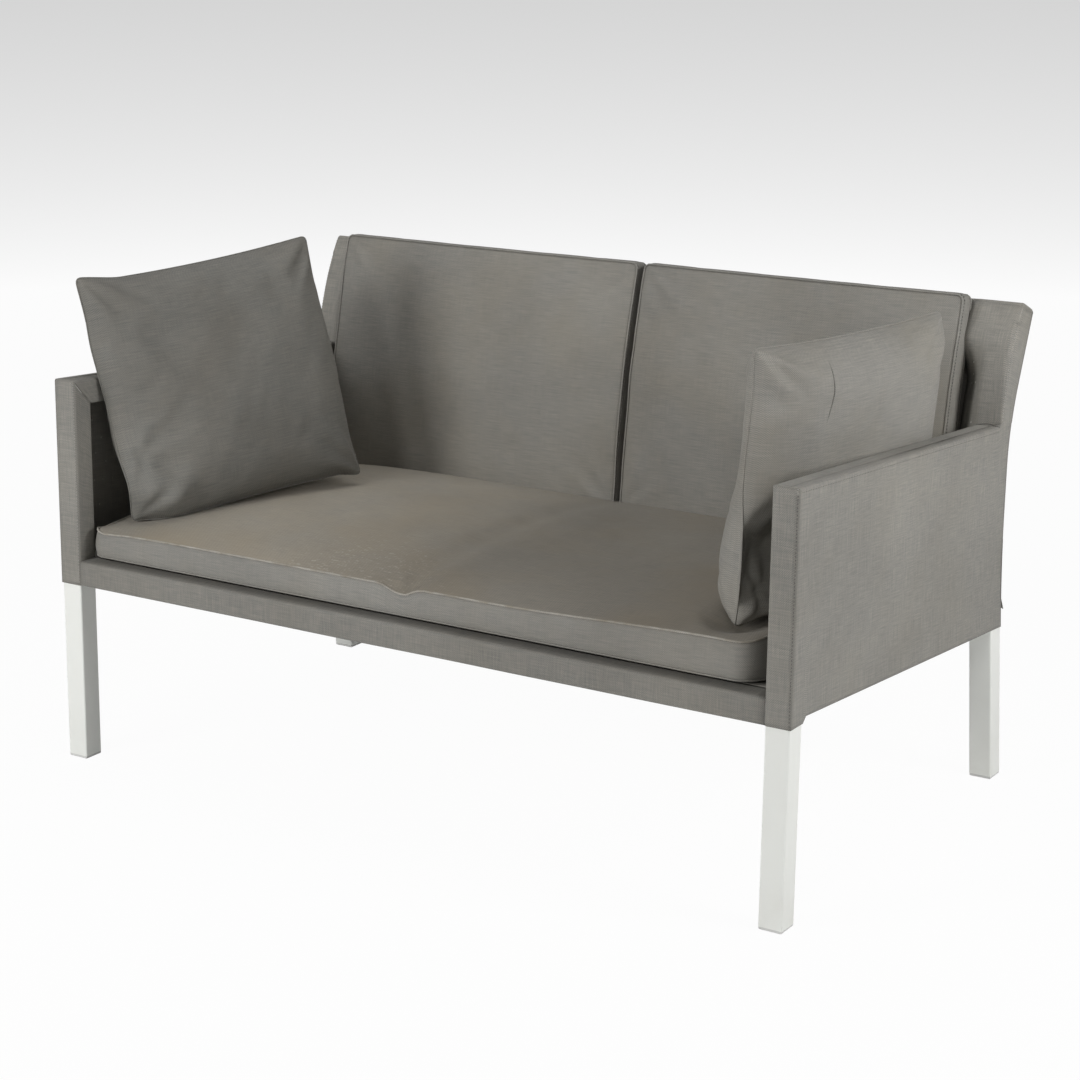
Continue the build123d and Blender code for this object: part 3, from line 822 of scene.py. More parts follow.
def top_rail_sleeve():
    """Sleeve over the top rail and the ends of the posts, closed at both ends like a pillow slip."""
    slope = Vector((sin(back_lean), cos(back_lean)))
    rearward = Vector((cos(back_lean), -sin(back_lean)))
    top = post_line[-1] - slope * (tube / 2)
    half = wrap + 0.0004
    outline = sleeve_outline(half, ((-1, -0.75), (-1, 1), (1, 1), (1, -0.75)))
    end = cover_x - sheet / 2 - 0.0004
    # Each column's x, how far its outline is drawn in and its size; both ends are closed
    columns = [(-end, 0.0, 0.0), (-end, 0.0, 0.55)]
    for k in range(6):
        angle = pi / 2 * k / 5
        columns.append((-end + fold_radius * (1 - cos(angle)), fold_radius * (1 - sin(angle)), 1.0))
    columns += [(x, 0.0, 1.0) for x in span(-end + fold_radius, 0, sleeve_step)[1:]]
    columns += [(-x, inset, size) for x, inset, size in columns[-2::-1]]
    rows = []
    for x, inset, size in columns:
        tag = "right" if x > 0 else "left"
        clear = smooth((abs(x) - cushion_end[tag]) / 0.012)
        droop = 0.0012 * ripple((x, 0, 0), 0.22) * smooth((x_in - abs(x)) / 0.1)
        row = []
        shrink = 1 - inset / half
        for p in outline:
            height = post_top - (half - p.y) * cos(back_lean)
            flare = max(0, front_flare(height) - 0.0022) * clear * clamp(-p.x / half, 0, 1)
            across = (p.x * shrink - flare) * size
            up = (p.y * shrink if p.y > 0 else p.y) * size - (1 - size) * 0.015
            place = top + rearward * across + slope * (up + droop * (p.y > 0))
            row.append(Vector((x, place.x, place.y)))
        rows.append(row)
    cover_piece("top_rail_sleeve", rows, "back_top_rail", "back_post_left", "back_post_right")


def front_rail_sleeve():
    """Sleeve round the front seat rail, between the two arms' strips."""
    outline = sleeve_outline(wrap, ((1, 1), (-1, 1), (-1, -1), (1, -1)))
    centre_z = (rail_top + rail_bottom) / 2
    end = x_mid - wrap + 0.0003
    rows = []
    for x in span(-end, end, sleeve_step):
        slack = 0.0005 + 0.0007 * ripple((x, 0, 0), 0.2, 3.0) * bump(x / end, 0, 1)
        row = []
        for p in outline:
            lower = slack * clamp(-p.y / wrap, 0, 1)
            row.append(Vector((x, leg_y + p.x, centre_z + p.y - lower)))
        rows.append(row)
    # The sleeve's fabric is darkened with painted shade from the cushion's overhang.
    cover_piece("front_rail_sleeve", rows, "front_seat_rail", finish=rail_fabric_painted_shade)


def seat_sling():
    """The flat sheet under the seat cushion, stretched between the four rails."""
    start = Vector((0, leg_rear, rail_top)) + seat_up * (cover - sheet / 2)
    sling_low, sling_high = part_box("seat_sling")
    length = (sling_high.y - sling_low.y) / cos(seat_rake)
    rows = []
    for run in span(0, length, sling_step):
        place = start + seat_dir * run
        rows.append([Vector((x, place.y, place.z)) for x in span(sling_low.x, sling_high.x, sling_step)])
    cover_piece("seat_sling", rows, "front_seat_rail", "rear_seat_rail", "side_rail_left", "side_rail_right")


sewn = {}
for side, tag in ((1, "right"), (-1, "left")):
    arm_front_sleeve(side, tag)
    arm_top_sleeve(side, tag)
    sewn["panel_" + tag] = arm_side_panel(side, tag)
    sewn["post_" + tag] = post_sleeve(side, tag)
back_skin()
top_rail_sleeve()
front_rail_sleeve()
seat_sling()

# Seams of the covers
post_foot_z = arm_lid_z(upright_y)
for side, tag, strand in ((1, "right", dark_thread), (-1, "left", light_thread)):
    # Down the arm's front: beside its right edge on both arms, bent at the left one's top
    face_y = y_front - cover - 0.0001
    low, high = rail_bottom - cover + 0.004, arm_height - 0.003
    x = side * x_mid + wrap - 0.0016
    strip = [Vector((x, face_y, z)) for z in span(low, high if side > 0 else high - 0.003, post_step)]
    if side < 0:
        strip += [Vector((x - 0.003, face_y, high)), Vector((x - 0.010, face_y, high + 0.0015))]
    stitches("arm_strip_stitches_" + tag, strip, Vector((0, -1, 0)), strand)
    # Along the arm's outer top edge
    edge = []
    for y in span(y_front + 0.006, upright_y - wrap - 0.006, edge_step):
        edge.append(Vector((side * (cover_x + 0.0002), y, arm_lid_z(y) - fold_radius - 0.003)))
    stitches("arm_edge_stitches_" + tag, edge, Vector((side, 0, 0)), dark_thread)
    # Where the arm's sleeve is sewn round the post
    arc = []
    for k in range(13):
        share = k / 12
        y = upright_y - wrap - 0.0012 - 0.004 * bump(share, 0.6, 0.6)
        z = post_foot_z + 0.0014 + 0.004 * bump(share, 0.55, 0.55)
        arc.append(Vector((side * blend(share, x_mid - wrap, x_mid + wrap), y, z)))
    seam_line("arm_post_seam_" + tag, arc, 0.0006, dark_thread)
    # Down the post's front outer corner
    corner = []
    for height in span(post_foot_z + 0.004, post_top - 0.004, post_step):
        flare = front_flare(height)
        inset = post_fold_radius(flare) * (1 - cos(pi / 4))
        place = post_point(height, -wrap - flare + inset - 0.0004)
        corner.append(Vector((side * (x_mid + wrap - inset + 0.0010), place.x, place.y)))
    stitches("post_edge_stitches_" + tag, corner, Vector((side, -1, 0)).normalized(), light_thread)
    # The open stretch of the seam between the side panel and the back skin: a dark cord lies in it as painted
    # shade of the slit.
    slit = []
    for z in span(0.325, 0.432, 0.008):
        slit.append(Vector((side * (cover_x - 0.0004), post_face_y(z, wrap) - panel_seam_inset - 0.0006, z)))
    seam_line("panel_rear_seam_" + tag, slit, 0.0012, dark_thread)


def points_of(piece):
    flat = np.zeros(len(piece.data.vertices) * 3, np.float32)
    piece.data.vertices.foreach_get("co", flat)
    return flat.reshape(-1, 3).astype(float)


def set_points(piece, points):
    piece.data.vertices.foreach_set("co", points.astype(np.float32).ravel())
    piece.data.update()


def surface_of(piece):
    """A tree that tells where a ray meets a piece."""
    points = [Vector(p) for p in points_of(piece)]
    return BVHTree.FromPolygons(points, [tuple(f.vertices) for f in piece.data.polygons])


def pinhole_light_dots(name, places, travel, cloth, finish):
    """Pale dots of painted light on a cover, where light shines through pinholes in the mesh; each is found
    by a ray through its place.
    """
    surface = surface_of(cloth)
    travel = Vector(travel)
    marks = []
    for k, place in enumerate(places):
        hit = surface.ray_cast(Vector(place) - travel * 0.03, travel, 0.2)[0]
        if hit is not None:
            lie = Vector((0.0, 0.5 * ripple((k, 0, 0), 0.7, 3.0), 1.0)).normalized()
            marks.append((hit - travel * (sheet / 2 + 0.0008), lie))
    stitch_marks(name, marks, -travel, finish)


# Painted light: pale dots on the shaded inner side of the left arm's panel and on the right post's sleeve,
# where light shines through the mesh.
pinhole_light_dots(
    "arm_pinhole_light_left",
    [(-0.66, y, z) for y, z in (
        (-0.3295, 0.6390), (-0.3315, 0.6252), (-0.3423, 0.5898), (-0.3093, 0.5104), (-0.3410, 0.4824),
        (-0.3187, 0.4798), (-0.2935, 0.4775), (-0.3300, 0.4369), (-0.3200, 0.5550), (-0.3350, 0.5300),
    )],
    (-1, 0, 0), sewn["panel_left"], pinhole_light_pale,
)
pinhole_light_dots(
    "post_pinhole_light_right",
    [(x, 0.28, z) for x, z in (
        (0.6262, 0.724), (0.6240, 0.702), (0.6214, 0.6864), (0.6334, 0.691), (0.6365, 0.627),
    )],
    (0, 1, 0), sewn["post_right"], pinhole_light_pale,
)


# Cushions


class Pad:
    """A sewn pad: a face panel, side strips and a rear panel, in its own plan and height.
    crowd, 0 to 1, draws the grid's lines towards the seams."""

    def __init__(self, width, depth, corner, spacing, side_rows, crowd=0.0):
        self.half = Vector((width / 2, depth / 2))
        self.corner = corner
        self.columns = ceil(width / spacing)
        self.lines = ceil(depth / spacing)
        self.side_rows = side_rows
        self.crowd = crowd
        self.faces, self.uvs, self.sides = [], [], []

    def spread(self, share):
        """A grid line's place across the pad, -1 to 1."""
        share = 2 * share - 1
        return blend(self.crowd, share, sin(share * pi / 2))

    def plan_point(self, i, j):
        """Place in the plan, with the corners rounded."""
        x = self.spread(i / self.columns) * self.half.x
        y = self.spread(j / self.lines) * self.half.y
        over = Vector((abs(x) - self.half.x + self.corner, abs(y) - self.half.y + self.corner))
        if over.x > 0 and over.y > 0:
            pulled = over.normalized() * max(over.x, over.y)
            x = (self.half.x - self.corner + pulled.x) * (1 if x > 0 else -1)
            y = (self.half.y - self.corner + pulled.y) * (1 if y > 0 else -1)
        return Vector((x, y))

    def build(self, face, rear, bulge, place, fold=None):
        """face and rear give heights over the plan, bulge the side's swell, place the world point;
        fold adds to the swell along the side."""
        columns, lines, depth = self.columns, self.lines, self.side_rows
        rim = [(i, 0) for i in range(columns)] + [(columns, j) for j in range(lines)]
        rim += [(i, lines) for i in range(columns, 0, -1)] + [(0, j) for j in range(lines, 0, -1)]
        index = {}
        local = []

        def vertex(key, x, y, z):
            index[key] = len(local)
            local.append((x, y, z))

        for j in range(lines + 1):
            for i in range(columns + 1):
                spot = self.plan_point(i, j)
                vertex(("face", i, j), spot.x, spot.y, face(spot.x, spot.y))
                vertex(("rear", i, j), spot.x, spot.y, rear(spot.x, spot.y))
        edge = [self.plan_point(i, j) for i, j in rim]
        for k, (i, j) in enumerate(rim):
            spot = edge[k]
            tangent = (edge[(k + 1) % len(rim)] - edge[k - 1]).normalized()
            outward = Vector((tangent.y, -tangent.x))
            high, low = face(spot.x, spot.y), rear(spot.x, spot.y)
            swell = bulge + (fold(spot.x, spot.y) if fold else 0.0)
            for step in range(1, depth):
                share = step / depth
                out = spot + outward * (swell * 4 * share * (1 - share))
                vertex(("side", k, step), out.x, out.y, blend(share, high, low))
            index[("side", k, 0)] = index[("face", i, j)]
            index[("side", k, depth)] = index[("rear", i, j)]
        for j in range(lines):
            for i in range(columns):
                cell = [(i, j), (i + 1, j), (i + 1, j + 1), (i, j + 1)]
                self.faces.append([index[("face", a, b)] for a, b in cell])
                self.uvs += [tuple(self.plan_point(a, b)) for a, b in cell]
                self.faces.append([index[("rear", a, b)] for a, b in cell[::-1]])
                self.uvs += [tuple(self.plan_point(a, b) + Vector((3, 0))) for a, b in cell[::-1]]
                self.sides += [0, 0]
        run = 0.0
        for k in range(len(rim)):
            after = (k + 1) % len(rim)
            step_run = (edge[after] - edge[k]).length
            tall = face(*edge[k]) - rear(*edge[k])
            for step in range(depth):
                self.faces.append([
                    index[("side", k, step)], index[("side", k, step + 1)],
                    index[("side", after, step + 1)], index[("side", after, step)],
                ])
                high, low = tall * step / depth, tall * (step + 1) / depth
                self.uvs += [(run, high), (run, low), (run + step_run, low), (run + step_run, high)]
                self.sides.append(1)
            run += step_run
        self.points = [place(*spot) for spot in local]
        self.local = local
        self.face_rim = [index[("face", i, j)] for i, j in rim]
        self.rear_rim = [index[("rear", i, j)] for i, j in rim]
        return self


puff_frames = 20


def pad_piece(node, pad, finish, boxed=True):
    """The sewn pad that stands for a cushion's solid; a boxed one has side strips of its own fabric."""
    made = make_piece(node + "_pad", pad.points, pad.faces, pad.uvs, node, finish, [node])
    if boxed:
        made.data.materials.append(boxing_fabric)
        made.data.polygons.foreach_set("material_index", pad.sides)
    return made


def puff(piece, pad, pressure, cap, limit=None):
    """Fills the sewn form by a short cloth simulation; its movement is capped and kept."""
    rest = points_of(piece)
    pins = piece.vertex_groups.new(name="seams")
    pins.add(pad.face_rim + pad.rear_rim, 0.6, "REPLACE")
    cloth = piece.modifiers.new("fill", "CLOTH")
    cloth.settings.quality = 4
    cloth.settings.mass = 0.3
    cloth.settings.tension_stiffness = 30
    cloth.settings.compression_stiffness = 30
    cloth.settings.shear_stiffness = 12
    cloth.settings.bending_stiffness = 0.4
    cloth.settings.use_pressure = True
    cloth.settings.uniform_pressure_force = pressure
    cloth.settings.effector_weights.gravity = 0
    cloth.settings.vertex_group_mass = "seams"
    cloth.collision_settings.use_collision = False
    cloth.point_cache.frame_start = 1
    cloth.point_cache.frame_end = puff_frames
    for number in range(1, puff_frames + 1):
        bpy.context.scene.frame_set(number)
    grown = piece.evaluated_get(bpy.context.evaluated_depsgraph_get())
    flat = np.zeros(len(rest) * 3, np.float32)
    grown.data.vertices.foreach_get("co", flat)
    piece.modifiers.remove(cloth)
    bpy.context.scene.frame_set(1)
    moved = flat.reshape(-1, 3).astype(float) - rest
    length = np.linalg.norm(moved, axis=1, keepdims=True)
    points = rest + moved * np.minimum(1.0, cap / np.maximum(length, 1e-9))
    set_points(piece, limit(points) if limit else points)


def finished(piece):
    rounder = piece.modifiers.new("rounder", "SUBSURF")
    rounder.levels = 1
    rounder.render_levels = 1


def pucker(x, y, half_x, half_y, seed):
    """Small gathers along a pad's seams and folds that run out of its corners."""
    from_side, from_end = half_x - abs(x), half_y - abs(y)
    edge = min(from_side, from_end)
    along = y if from_side < from_end else x
    gather = 0.0011 * ripple((along, 0, 0), 0.022, seed) * smooth(1 - edge / 0.03)
    reach = (from_side * from_side + from_end * from_end) ** 0.5
    fan = (from_side - from_end) / max(reach, 0.004)
    lean = 2.3 * (1 if x > 0 else -1) + (1 if y > 0 else 0)
    fold = 0.0042 * sin(fan * 6.5 + seed + lean) * bump(reach, 0.055, 0.055)
    return gather + fold


# Seat cushion
seat_low, seat_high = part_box("seat_cushion")
seat_width = seat_high.x - seat_low.x
seat_half = seat_width / 2
seat_depth = 0.745
seat_front_y = -seat_depth / 2
seat_inset = 0.016
seat_corner = 0.030
seat_rises = (0.054, 0.1, 0.09)
seat_origin = Vector((0, leg_rear, rail_top)) + seat_up * (cover + 0.0006)
seat_origin -= seat_dir * (tube + cover - seat_inset)
boxed_spacing = 0.0105
boxed_rows = 5
boxed_crowd = 0.25
boxed_seam_radius = 0.0016


def seat_place(x, y, z):
    """The right front corner is drawn in; the left one stands up in a small ear."""
    corner = mound(x, y, seat_half, seat_front_y, 0.15)
    ear = mound(x, y, 0.006 - seat_half, seat_front_y + 0.006, 0.032)
    x -= 0.027 * corner
    z += 0.016 * ear * smooth((z - 0.04) / 0.02)
    return seat_origin + x_axis * x + seat_dir * (y - seat_front_y) + seat_up * z


def beside(x, y, start, end, width):
    """1 on a line over a pad's plan, 0 beyond the width; also how far along the line."""
    run = Vector(end) - Vector(start)
    along = clamp((Vector((x, y)) - Vector(start)).dot(run) / run.length_squared, 0, 1)
    away = (Vector((x, y)) - Vector(start) - run * along).length
    return smooth(1 - away / width), along


def seat_face(x, y):
    """Two low lobes with a dimple between them at the front; the right front corner is fuller."""
    share = (y - seat_front_y) / seat_depth
    fall = 1 - (0.16 - 0.14 * smooth(x / 0.3) * (1 - share)) * (abs(x) / seat_half) ** 9
    fuller = 0.013 * smooth((x - 0.15) / 0.45) * (1 - share) ** 2
    channel = bump(x, 0, 0.045) * (0.0035 * (1 - share) + 0.0022)
    dimple = 0.0055 * bump(x, 0, 0.05) * bump(y, seat_front_y, 0.07)
    wave = 0.004 * ripple((x, y, 0), 0.17, 2.0) + 0.0013 * ripple((x, y, 0), 0.05, 5.0)
    crease = 0.0030 * ripple((x, y * 0.4, 0), 0.016, 9.0) * bump(x, 0.01, 0.10) * bump(share, 0.03, 0.09)
    # A pleat to the left of the channel's front end, with a hollow to its right
    pleat = 0.008 * bump(x, -0.014, 0.016) * bump(y, -0.345, 0.032)
    pleat -= 0.006 * bump(x, 0.010, 0.014) * bump(y, -0.35, 0.04)
    # The pillows press into it along their lower edges
    right_press, along = beside(x, y, (0.570, -0.290), (0.620, 0.220), 0.085)
    press = right_press * blend(along, 0.022, 0.006)
    press += beside(x, y, (-0.590, -0.290), (-0.420, 0.105), 0.06)[0] * 0.006
    rise = arch(share, *seat_rises) * fall + fuller
    return rise - channel - dimple + wave * bump(share, 0.5, 0.55) + crease + pleat - press


def seat_underside(x, y):
    """The underside's front edge is lifted off the rail."""
    return 0.0065 * smooth(1 - (y - seat_front_y) / 0.11)


def seat_boxing_fold(x, y):
    """Upright folds in the front strip, deepest under the channel."""
    front = smooth(1 - (y - seat_front_y) / 0.02)
    deep = 0.0022 * bump(x, 0.0, 0.20) + 0.0006
    return deep * ripple((x, 0, 0), 0.024, 12.0) * front


def seat_limit(points):
    """Nothing sinks through the sling or into the arms."""
    lift = (points - np.array(seat_origin)) @ np.array(seat_up)
    points += np.outer(np.maximum(-lift, 0), np.array(seat_up))
    room = x_in - cover - 0.001
    points[:, 0] = np.clip(points[:, 0], -room, room)
    return points


pad = Pad(seat_width - 0.004, seat_depth, seat_corner, boxed_spacing, boxed_rows, boxed_crowd)
pad.build(seat_face, seat_underside, 0.004, seat_place, seat_boxing_fold)
seat = pad_piece("seat_cushion", pad, seat_fabric)
puff(seat, pad, 2.0, 0.005, seat_limit)
seat_points = points_of(seat)
top_seam = [Vector(seat_points[k]) for k in pad.face_rim]
low_seam = [Vector(seat_points[k]) + seat_up * 0.002 for k in pad.rear_rim]
piping("seat_cushion_top_seam", top_seam, 0.0017, "seat_cushion", worn_fabric)
piping("seat_cushion_low_seam", low_seam, boxed_seam_radius, "seat_cushion", boxing_fabric)
seat_surface = surface_of(seat)
finished(seat)

# Back cushions
back_cushion_lean = radians(8.6)
back_up = Vector((0, sin(back_cushion_lean), cos(back_cushion_lean)))
back_front = Vector((0, -cos(back_cushion_lean), sin(back_cushion_lean)))
back_height = 0.444
back_corner = 0.011
back_rises = (0.05, 0.062, 0.042)
back_surfaces = []


def back_cushion(tag, seed, strand):
    node = "back_cushion_" + tag
    low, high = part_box(node)
    width = high.x - low.x - 0.006
    middle = (low.x + high.x) / 2
    # The rear panel's plane goes through the box's top rear corner
    rear_y, top_z = high.y - 0.001, high.z - 0.006
    origin = Vector((middle, rear_y - back_up.y * back_height, top_z - back_up.z * back_height))

    def place(x, y, z):
        return origin + x_axis * x + back_up * (y + back_height / 2) + back_front * z

    def face(x, y):
        share = (y + back_height / 2) / back_height
        rise = arch(share, *back_rises) * (1 - 0.2 * abs(2 * x / width) ** 7)
        wave = 0.004 * ripple((x, y, 0), 0.15, seed) + 0.0012 * ripple((x, y, 0), 0.045, seed)
        folds = pucker(x, y, width / 2, back_height / 2, seed) * 0.35
        return rise + wave * bump(share, 0.5, 0.55) + folds

    def rear(x, y):
        return 0.0

    pad = Pad(width, back_height, back_corner, boxed_spacing, boxed_rows, boxed_crowd)
    pad.build(face, rear, 0.003, place)
    piece = pad_piece(node, pad, cushion_fabric)
    puff(piece, pad, 2.0, 0.004)
    points = points_of(piece)
    for name, rim in (("front", pad.face_rim), ("rear", pad.rear_rim)):
        seam = [Vector(points[k]) for k in rim]
        piping(node + "_" + name + "_seam", seam, boxed_seam_radius, node, boxing_fabric)
    # The row of stitches beside the front seam, on the side strips
    rim = [Vector(points[k]) - back_front * 0.0045 for k in pad.face_rim]
    middle_point = sum(rim, Vector()) / len(rim)
    line = [p + (p - middle_point).normalized() * 0.0016 for p in rim + rim[:1]]
    for name, sign in (("left", -1), ("right", 1)):
        run = sorted((p for p in line if (p.x - middle) * sign > width / 2 - 0.02), key=lambda p: p.z)
        stitches(node + "_stitches_" + name, run, Vector((sign, 0, 0)), strand, node)
    back_surfaces.append(surface_of(piece))
    finished(piece)


back_cushion("left", 3.0, light_thread)
back_cushion("right", 8.0, dark_thread)

# Throw pillows
pillow_width = 0.466
pillow_height = 0.434
pillow_half_thickness = 0.047
pillow_seam = 0.0022
pillow_draw = 0.034
pillow_round = 0.055
pillow_corner = 0.009
pillow_spacing = 0.0088
pillow_crowd = 0.55
pillow_clear = 0.0025


def rounded_rise(inset, radius):
    """Height over a rounded edge, 0 at the edge and 1 past its radius."""
    left = 1 - clamp(inset / radius, 0, 1)
    return (max(0.0, 1 - left * left)) ** 0.5


def throw_pillow(
    tag, x, back, rise, turn, lean, roll, seed, hollows, bellies, tugs, pinch, dip=None, crease=None,
):
    """A pillow that stands on its edge on the seat, back from the bench's front and so far up.
    hollows press the side towards the right arm and bellies swell the other: (x, y, reach, depth).
    tugs pull a spot of the plan: (x, y, reach, pull). pinch is a spot with folds round it, (x, y,
    reach), and dip a hollow behind the seam's plane. crease is a bowed fold: (x, y, reach, lean, bow)."""
    node = "throw_pillow_" + tag
    y_middle = y_front + back
    seat_z = rail_top - (y_middle - leg_rear) * tan(seat_rake)
    spin = Matrix.Rotation(radians(turn), 3, "Z") @ Matrix.Rotation(radians(lean), 3, "Y")
    spin = spin @ Matrix.Rotation(radians(roll), 3, "X")
    centre = Vector((x, y_middle, seat_z + rise))
    half_x, half_y = pillow_width / 2, pillow_height / 2

    def place(x, y, z):
        return centre + spin @ Vector((z, x, y))

    def swell(x, y, seed):
        side = rounded_rise(half_x - abs(x), pillow_round)
        end = rounded_rise(half_y - abs(y), pillow_round)
        flat = max(0.0, 1 - (x / half_x) ** 2) * max(0.0, 1 - (y / half_y) ** 2)
        wave = 0.0065 * ripple((x, y, 0), 0.11, seed) * (side * end) ** 2
        wave += 0.0016 * ripple((x + y, 2.5 * (x - y), 0), 0.07, seed + 1) * side * end
        full = pillow_half_thickness * side * end * (0.80 + 0.20 * flat)
        return full + wave + pucker(x, y, half_x, half_y, seed) * min(1, 4 * side * end)

    def face(x, y):
        height = pillow_seam / 2 + swell(x, y, seed)
        for *spot, depth in hollows:
            height -= depth * mound(x, y, *spot)
        # Folds that run out of the pinched spot like rays, and the spot itself
        pinch_x, pinch_y, reach = pinch
        off = Vector((x - pinch_x, y - pinch_y))
        ray = 0.0038 * sin(5 * atan2(off.y, off.x) + 1.0) * bump(off.length, reach * 0.4, reach * 0.6)
        height += (ray - 0.007 * mound(x, y, pinch_x, pinch_y, 0.02)) * inside(x, y)
        height = max(height, pillow_seam / 2)
        if dip:
            *spot, depth = dip
            height -= depth * mound(x, y, *spot) * inside(x, y)
        return height

    def inside(x, y):
        """0 on the seam and 1 a short way in."""
        return rounded_rise(half_x - abs(x), 0.035) * rounded_rise(half_y - abs(y), 0.035)

    def rear(x, y):
        height = max(0.0, swell(x, y, seed + 4))
        for *spot, depth in bellies:
            height += depth * mound(x, y, *spot) * inside(x, y)
        return -pillow_seam / 2 - height

    pad = Pad(pillow_width, pillow_height, pillow_corner, pillow_spacing, 1, pillow_crowd)
    pad.build(face, rear, 0.0, place)
    for k, (px, py, pz) in enumerate(pad.local):
        across, up = px / half_x, py / half_y
        px *= 1 - pillow_draw * (1 - up * up)
        py *= 1 - pillow_draw * (1 - across * across)
        pad.points[k] = place(px, py, pz)
        for *spot, pull in tugs:
            pad.points[k] += Vector(pull) * mound(px, py, *spot)
    # Each pillow gets its own copy of the fabric: painted shade on the left one, painted light on the right
    # one.
    piece = pad_piece(node, pad, pillow_lit_and_shaded_copies[tag], boxed=False)
    room = x_in - cover - 0.002

    def limit(points):
        """Clear of the arm below its top, of the seat cushion and of the back cushions."""
        for point in points:
            over = abs(point[0]) - room
            under = arm_lid_z(point[1]) + 0.002 - point[2]
            if over > 0 and under > 0:
                if over < under or under > 0.02:
                    point[0] = clamp(point[0], -room, room)
                else:
                    point[2] += under
            for surface in back_surfaces:
                start = Vector((point[0], point[1] - 0.3, point[2]))
                hit = surface.ray_cast(start, Vector((0, 1, 0)), 0.34)[0]
                if hit is not None:
                    point[1] = min(point[1], hit.y - pillow_clear)
            start = Vector((point[0], point[1], point[2] + 0.3))
            hit = seat_surface.ray_cast(start, Vector((0, 0, -1)), 0.4)[0]
            if hit is not None:
                point[2] = max(point[2], hit.z + pillow_clear)
        return points

    puff(piece, pad, 3.0, 0.008, limit)
    set_points(piece, limit(points_of(piece)))
    points = points_of(piece)
    rim = [Vector((points[a] + points[b]) / 2) for a, b in zip(pad.face_rim, pad.rear_rim)]
    piping(node + "_seam", rim, 0.0014, node, pillow_lit_and_shaded_copies[tag])
    if crease:
        # A thin roll along a bowed line on the pillow, sunk in at both ends
        middle_x, middle_y, reach, lean_over, bow = crease
        side = surface_of(piece)
        outward = spin @ Vector((1, 0, 0))
        fold = []
        for share in span(-1, 1, 0.1):
            run, off = share * reach, bow * (1 - share * share)
            spot_x = middle_x + off * cos(lean_over) + run * sin(lean_over)
            spot_y = middle_y - off * sin(lean_over) + run * cos(lean_over)
            hit = side.ray_cast(place(spot_x, spot_y, 0.15), -outward, 0.3)[0]
            if hit is not None:
                fold.append(hit + outward * (0.0005 - 0.0016 * abs(share) ** 3))
        piping(node + "_crease", fold, 0.0011, node, boxing_fabric, closed=False)
    finished(piece)


throw_pillow(
    "left", x=-x_in + 0.107, back=0.274, rise=0.303, turn=-19.9, lean=-14.7, roll=5.2, seed=1.0,
    hollows=[
        (-0.19, -0.13, 0.06, 0.010), (0.12, 0.16, 0.06, 0.006), (0.05, 0.10, 0.06, 0.004),
        (-0.12, -0.19, 0.05, 0.008), (-0.12, 0.10, 0.09, 0.006),
    ],
    bellies=[(-0.19, -0.03, 0.12, 0.012)],
    tugs=[
        (-0.233, -0.217, 0.09, (-0.036, 0.024, 0.006)), (-0.233, -0.06, 0.15, (-0.024, 0.008, 0.0)),
        (-0.233, 0.09, 0.15, (-0.013, -0.007, 0.0)), (-0.233, 0.217, 0.08, (-0.007, -0.004, 0.008)),
        (0.233, 0.0, 0.16, (0.006, 0.004, 0.0)), (0.233, -0.217, 0.05, (0.004, 0.0, -0.006)),
    ],
    pinch=(-0.208, -0.10, 0.10),
)
throw_pillow(
    "right", x=x_in - 0.077, back=0.381, rise=0.284, turn=-11.9, lean=3.3, roll=0.1, seed=6.0,
    hollows=[
        (-0.20, 0.14, 0.03, 0.006), (0.16, 0.17, 0.05, 0.006), (-0.17, -0.11, 0.13, 0.026),
        (-0.205, -0.17, 0.03, 0.008),
    ],
    bellies=[(-0.175, -0.15, 0.19, 0.034)],
    tugs=[(-0.233, -0.217, 0.24, (0.040, -0.070, 0.026)), (-0.233, 0.02, 0.16, (-0.003, -0.008, 0.0))],
    pinch=(-0.19, -0.17, 0.07), dip=(-0.175, -0.11, 0.12, 0.038), crease=(-0.103, 0.142, 0.045, 0.21, 0.006),
)


# Floor, light and camera

floor_radius = 60.0
floor_sides = 96
horizon_level = 0.60
horizon_grey = (horizon_level, horizon_level, horizon_level, 1)
floor_grey = (0.75, 0.75, 0.75, 1)
floor_fall = 2.15
floor_glow = 0.965
ambient_level = 0.17
key_strength = 0.37
side_power = 38.0
left_power = 61.0
top_power = 9.0


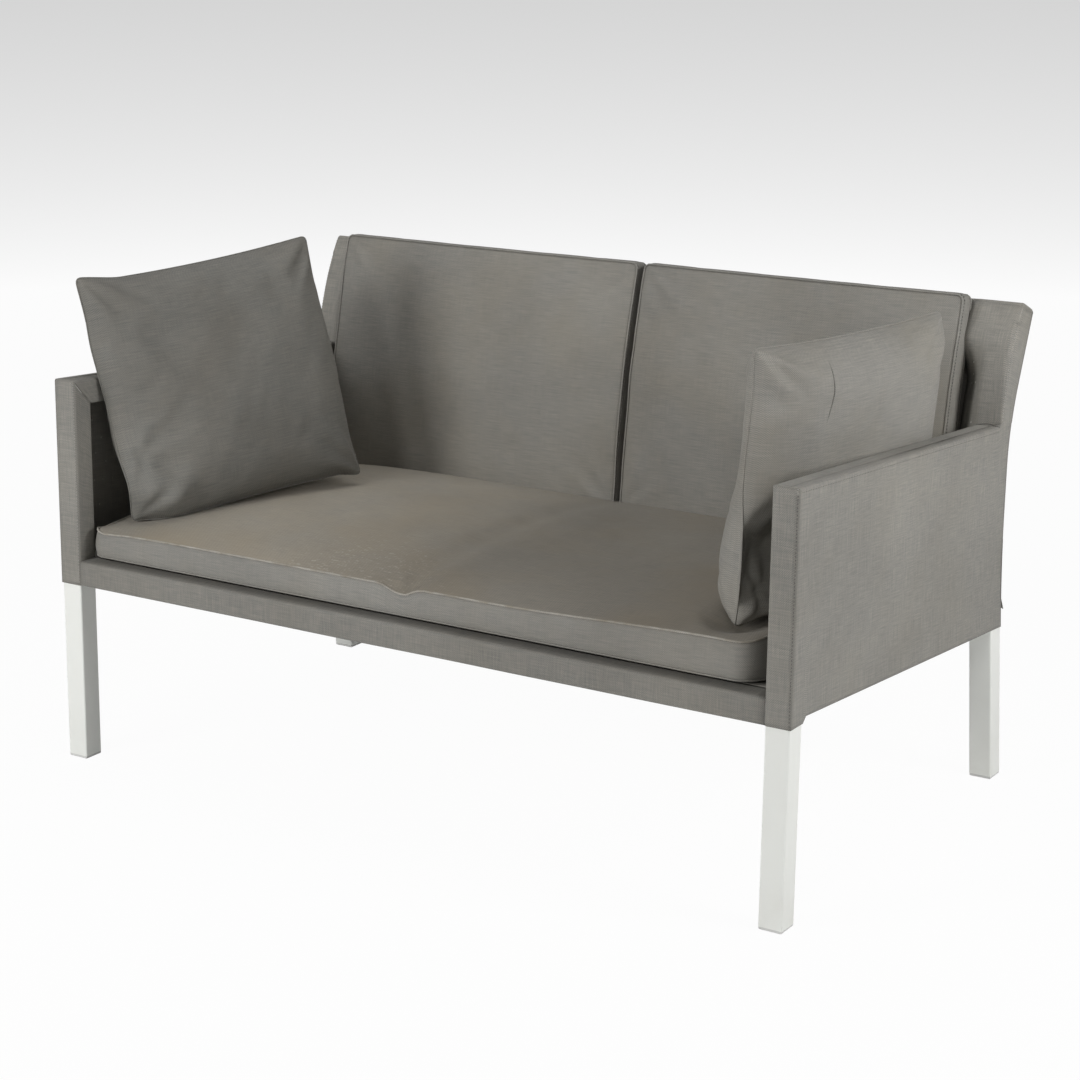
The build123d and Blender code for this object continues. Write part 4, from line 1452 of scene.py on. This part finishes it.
def studio_floor():
    """A pale floor that darkens evenly with distance; it keeps a trace of the bench's shadow."""
    mesh = bpy.data.meshes.new("studio_floor")
    angles = [2 * pi * k / floor_sides for k in range(floor_sides)]
    ring = [(floor_radius * cos(angle), floor_radius * sin(angle), 0) for angle in angles]
    mesh.from_pydata(ring, [], [list(range(floor_sides))])
    floor = placed("studio_floor", mesh)
    made, board, surface = material("studio_floor")
    surface.inputs["Roughness"].default_value = 0.9
    surface.inputs["Base Color"].default_value = floor_grey
    place = board.object_place()
    away = board.add("ShaderNodeVectorMath", {0: place}, operation="LENGTH").outputs["Value"]
    shade = board.math("ADD", horizon_level, board.math("DIVIDE", floor_fall, away))
    shade = board.math("MINIMUM", shade, 1.0)
    glow = board.add("ShaderNodeEmission", {"Color": board.grey(shade), "Strength": 1.0})
    path = board.add("ShaderNodeLightPath").outputs
    seen = board.math("MAXIMUM", path["Is Glossy Ray"], path["Is Transmission Ray"])
    seen = board.math("MAXIMUM", path["Is Camera Ray"], seen)
    mixed = board.add("ShaderNodeMixShader")
    board.feed(mixed.inputs[0], board.math("MULTIPLY", seen, floor_glow))
    board.feed(mixed.inputs[1], surface.outputs[0])
    board.feed(mixed.inputs[2], glow.outputs[0])
    out = made.node_tree.nodes["Material Output"]
    board.feed(out.inputs["Surface"], mixed.outputs[0])
    mesh.materials.append(made)


def studio_world():
    """Even light from all round; the camera sees a grey that joins the floor's far end."""
    world = bpy.data.worlds.new("studio_world")
    world.use_nodes = True
    bpy.context.scene.world = world
    board = Board(world.node_tree)
    background = world.node_tree.nodes["Background"]
    path = board.add("ShaderNodeLightPath").outputs
    seen = board.math("MAXIMUM", path["Is Camera Ray"], path["Is Transmission Ray"])
    colour = board.mix(seen, (ambient_level, ambient_level, ambient_level, 1), horizon_grey)
    board.feed(background.inputs["Color"], colour)
    background.inputs["Strength"].default_value = 1.0


def aimed(name, data, travel, place=(0, 0, 0)):
    """A light or camera at a place, turned to look along its travel."""
    made = placed(name, data)
    made.location = place
    made.rotation_mode = "QUATERNION"
    made.rotation_quaternion = Vector(travel).to_track_quat("-Z", "Y")
    return made


def sun(name, travel, strength, softness):
    light = bpy.data.lights.new(name, "SUN")
    light.energy = strength
    light.angle = radians(softness)
    aimed(name, light, travel)


def softbox(name, place, target, size, power):
    light = bpy.data.lights.new(name, "AREA")
    light.shape = "SQUARE"
    light.size = size
    light.energy = power
    aimed(name, light, Vector(target) - Vector(place), place)


def camera():
    """The camera that was solved from the photograph."""
    azimuth, down = radians(34.319), radians(14.887)
    data = bpy.data.cameras.new("photo_camera")
    data.sensor_width = 36.0
    data.lens = 85.4
    data.shift_x = 0.1137
    data.clip_start = 0.05
    data.clip_end = 200.0
    look = (-sin(azimuth) * cos(down), cos(azimuth) * cos(down), -sin(down))
    bpy.context.scene.camera = aimed("photo_camera", data, look, (2.2246, -3.6198, 1.5316))


studio_floor()
studio_world()
sun("key_light", (-0.15, 1.0, -0.45), key_strength, 9)
softbox("side_light", (2.7, -0.1, 1.6), (0.0, 0.0, 0.45), 1.1, side_power)
softbox("left_light", (-1.2, -3.4, 1.6), (-0.3, -0.3, 0.4), 1.2, left_power)
softbox("top_light", (-0.6, 0.15, 2.5), (-0.3, 0.0, 0.4), 1.0, top_power)
camera()
bpy.context.scene.view_settings.view_transform = "Standard"
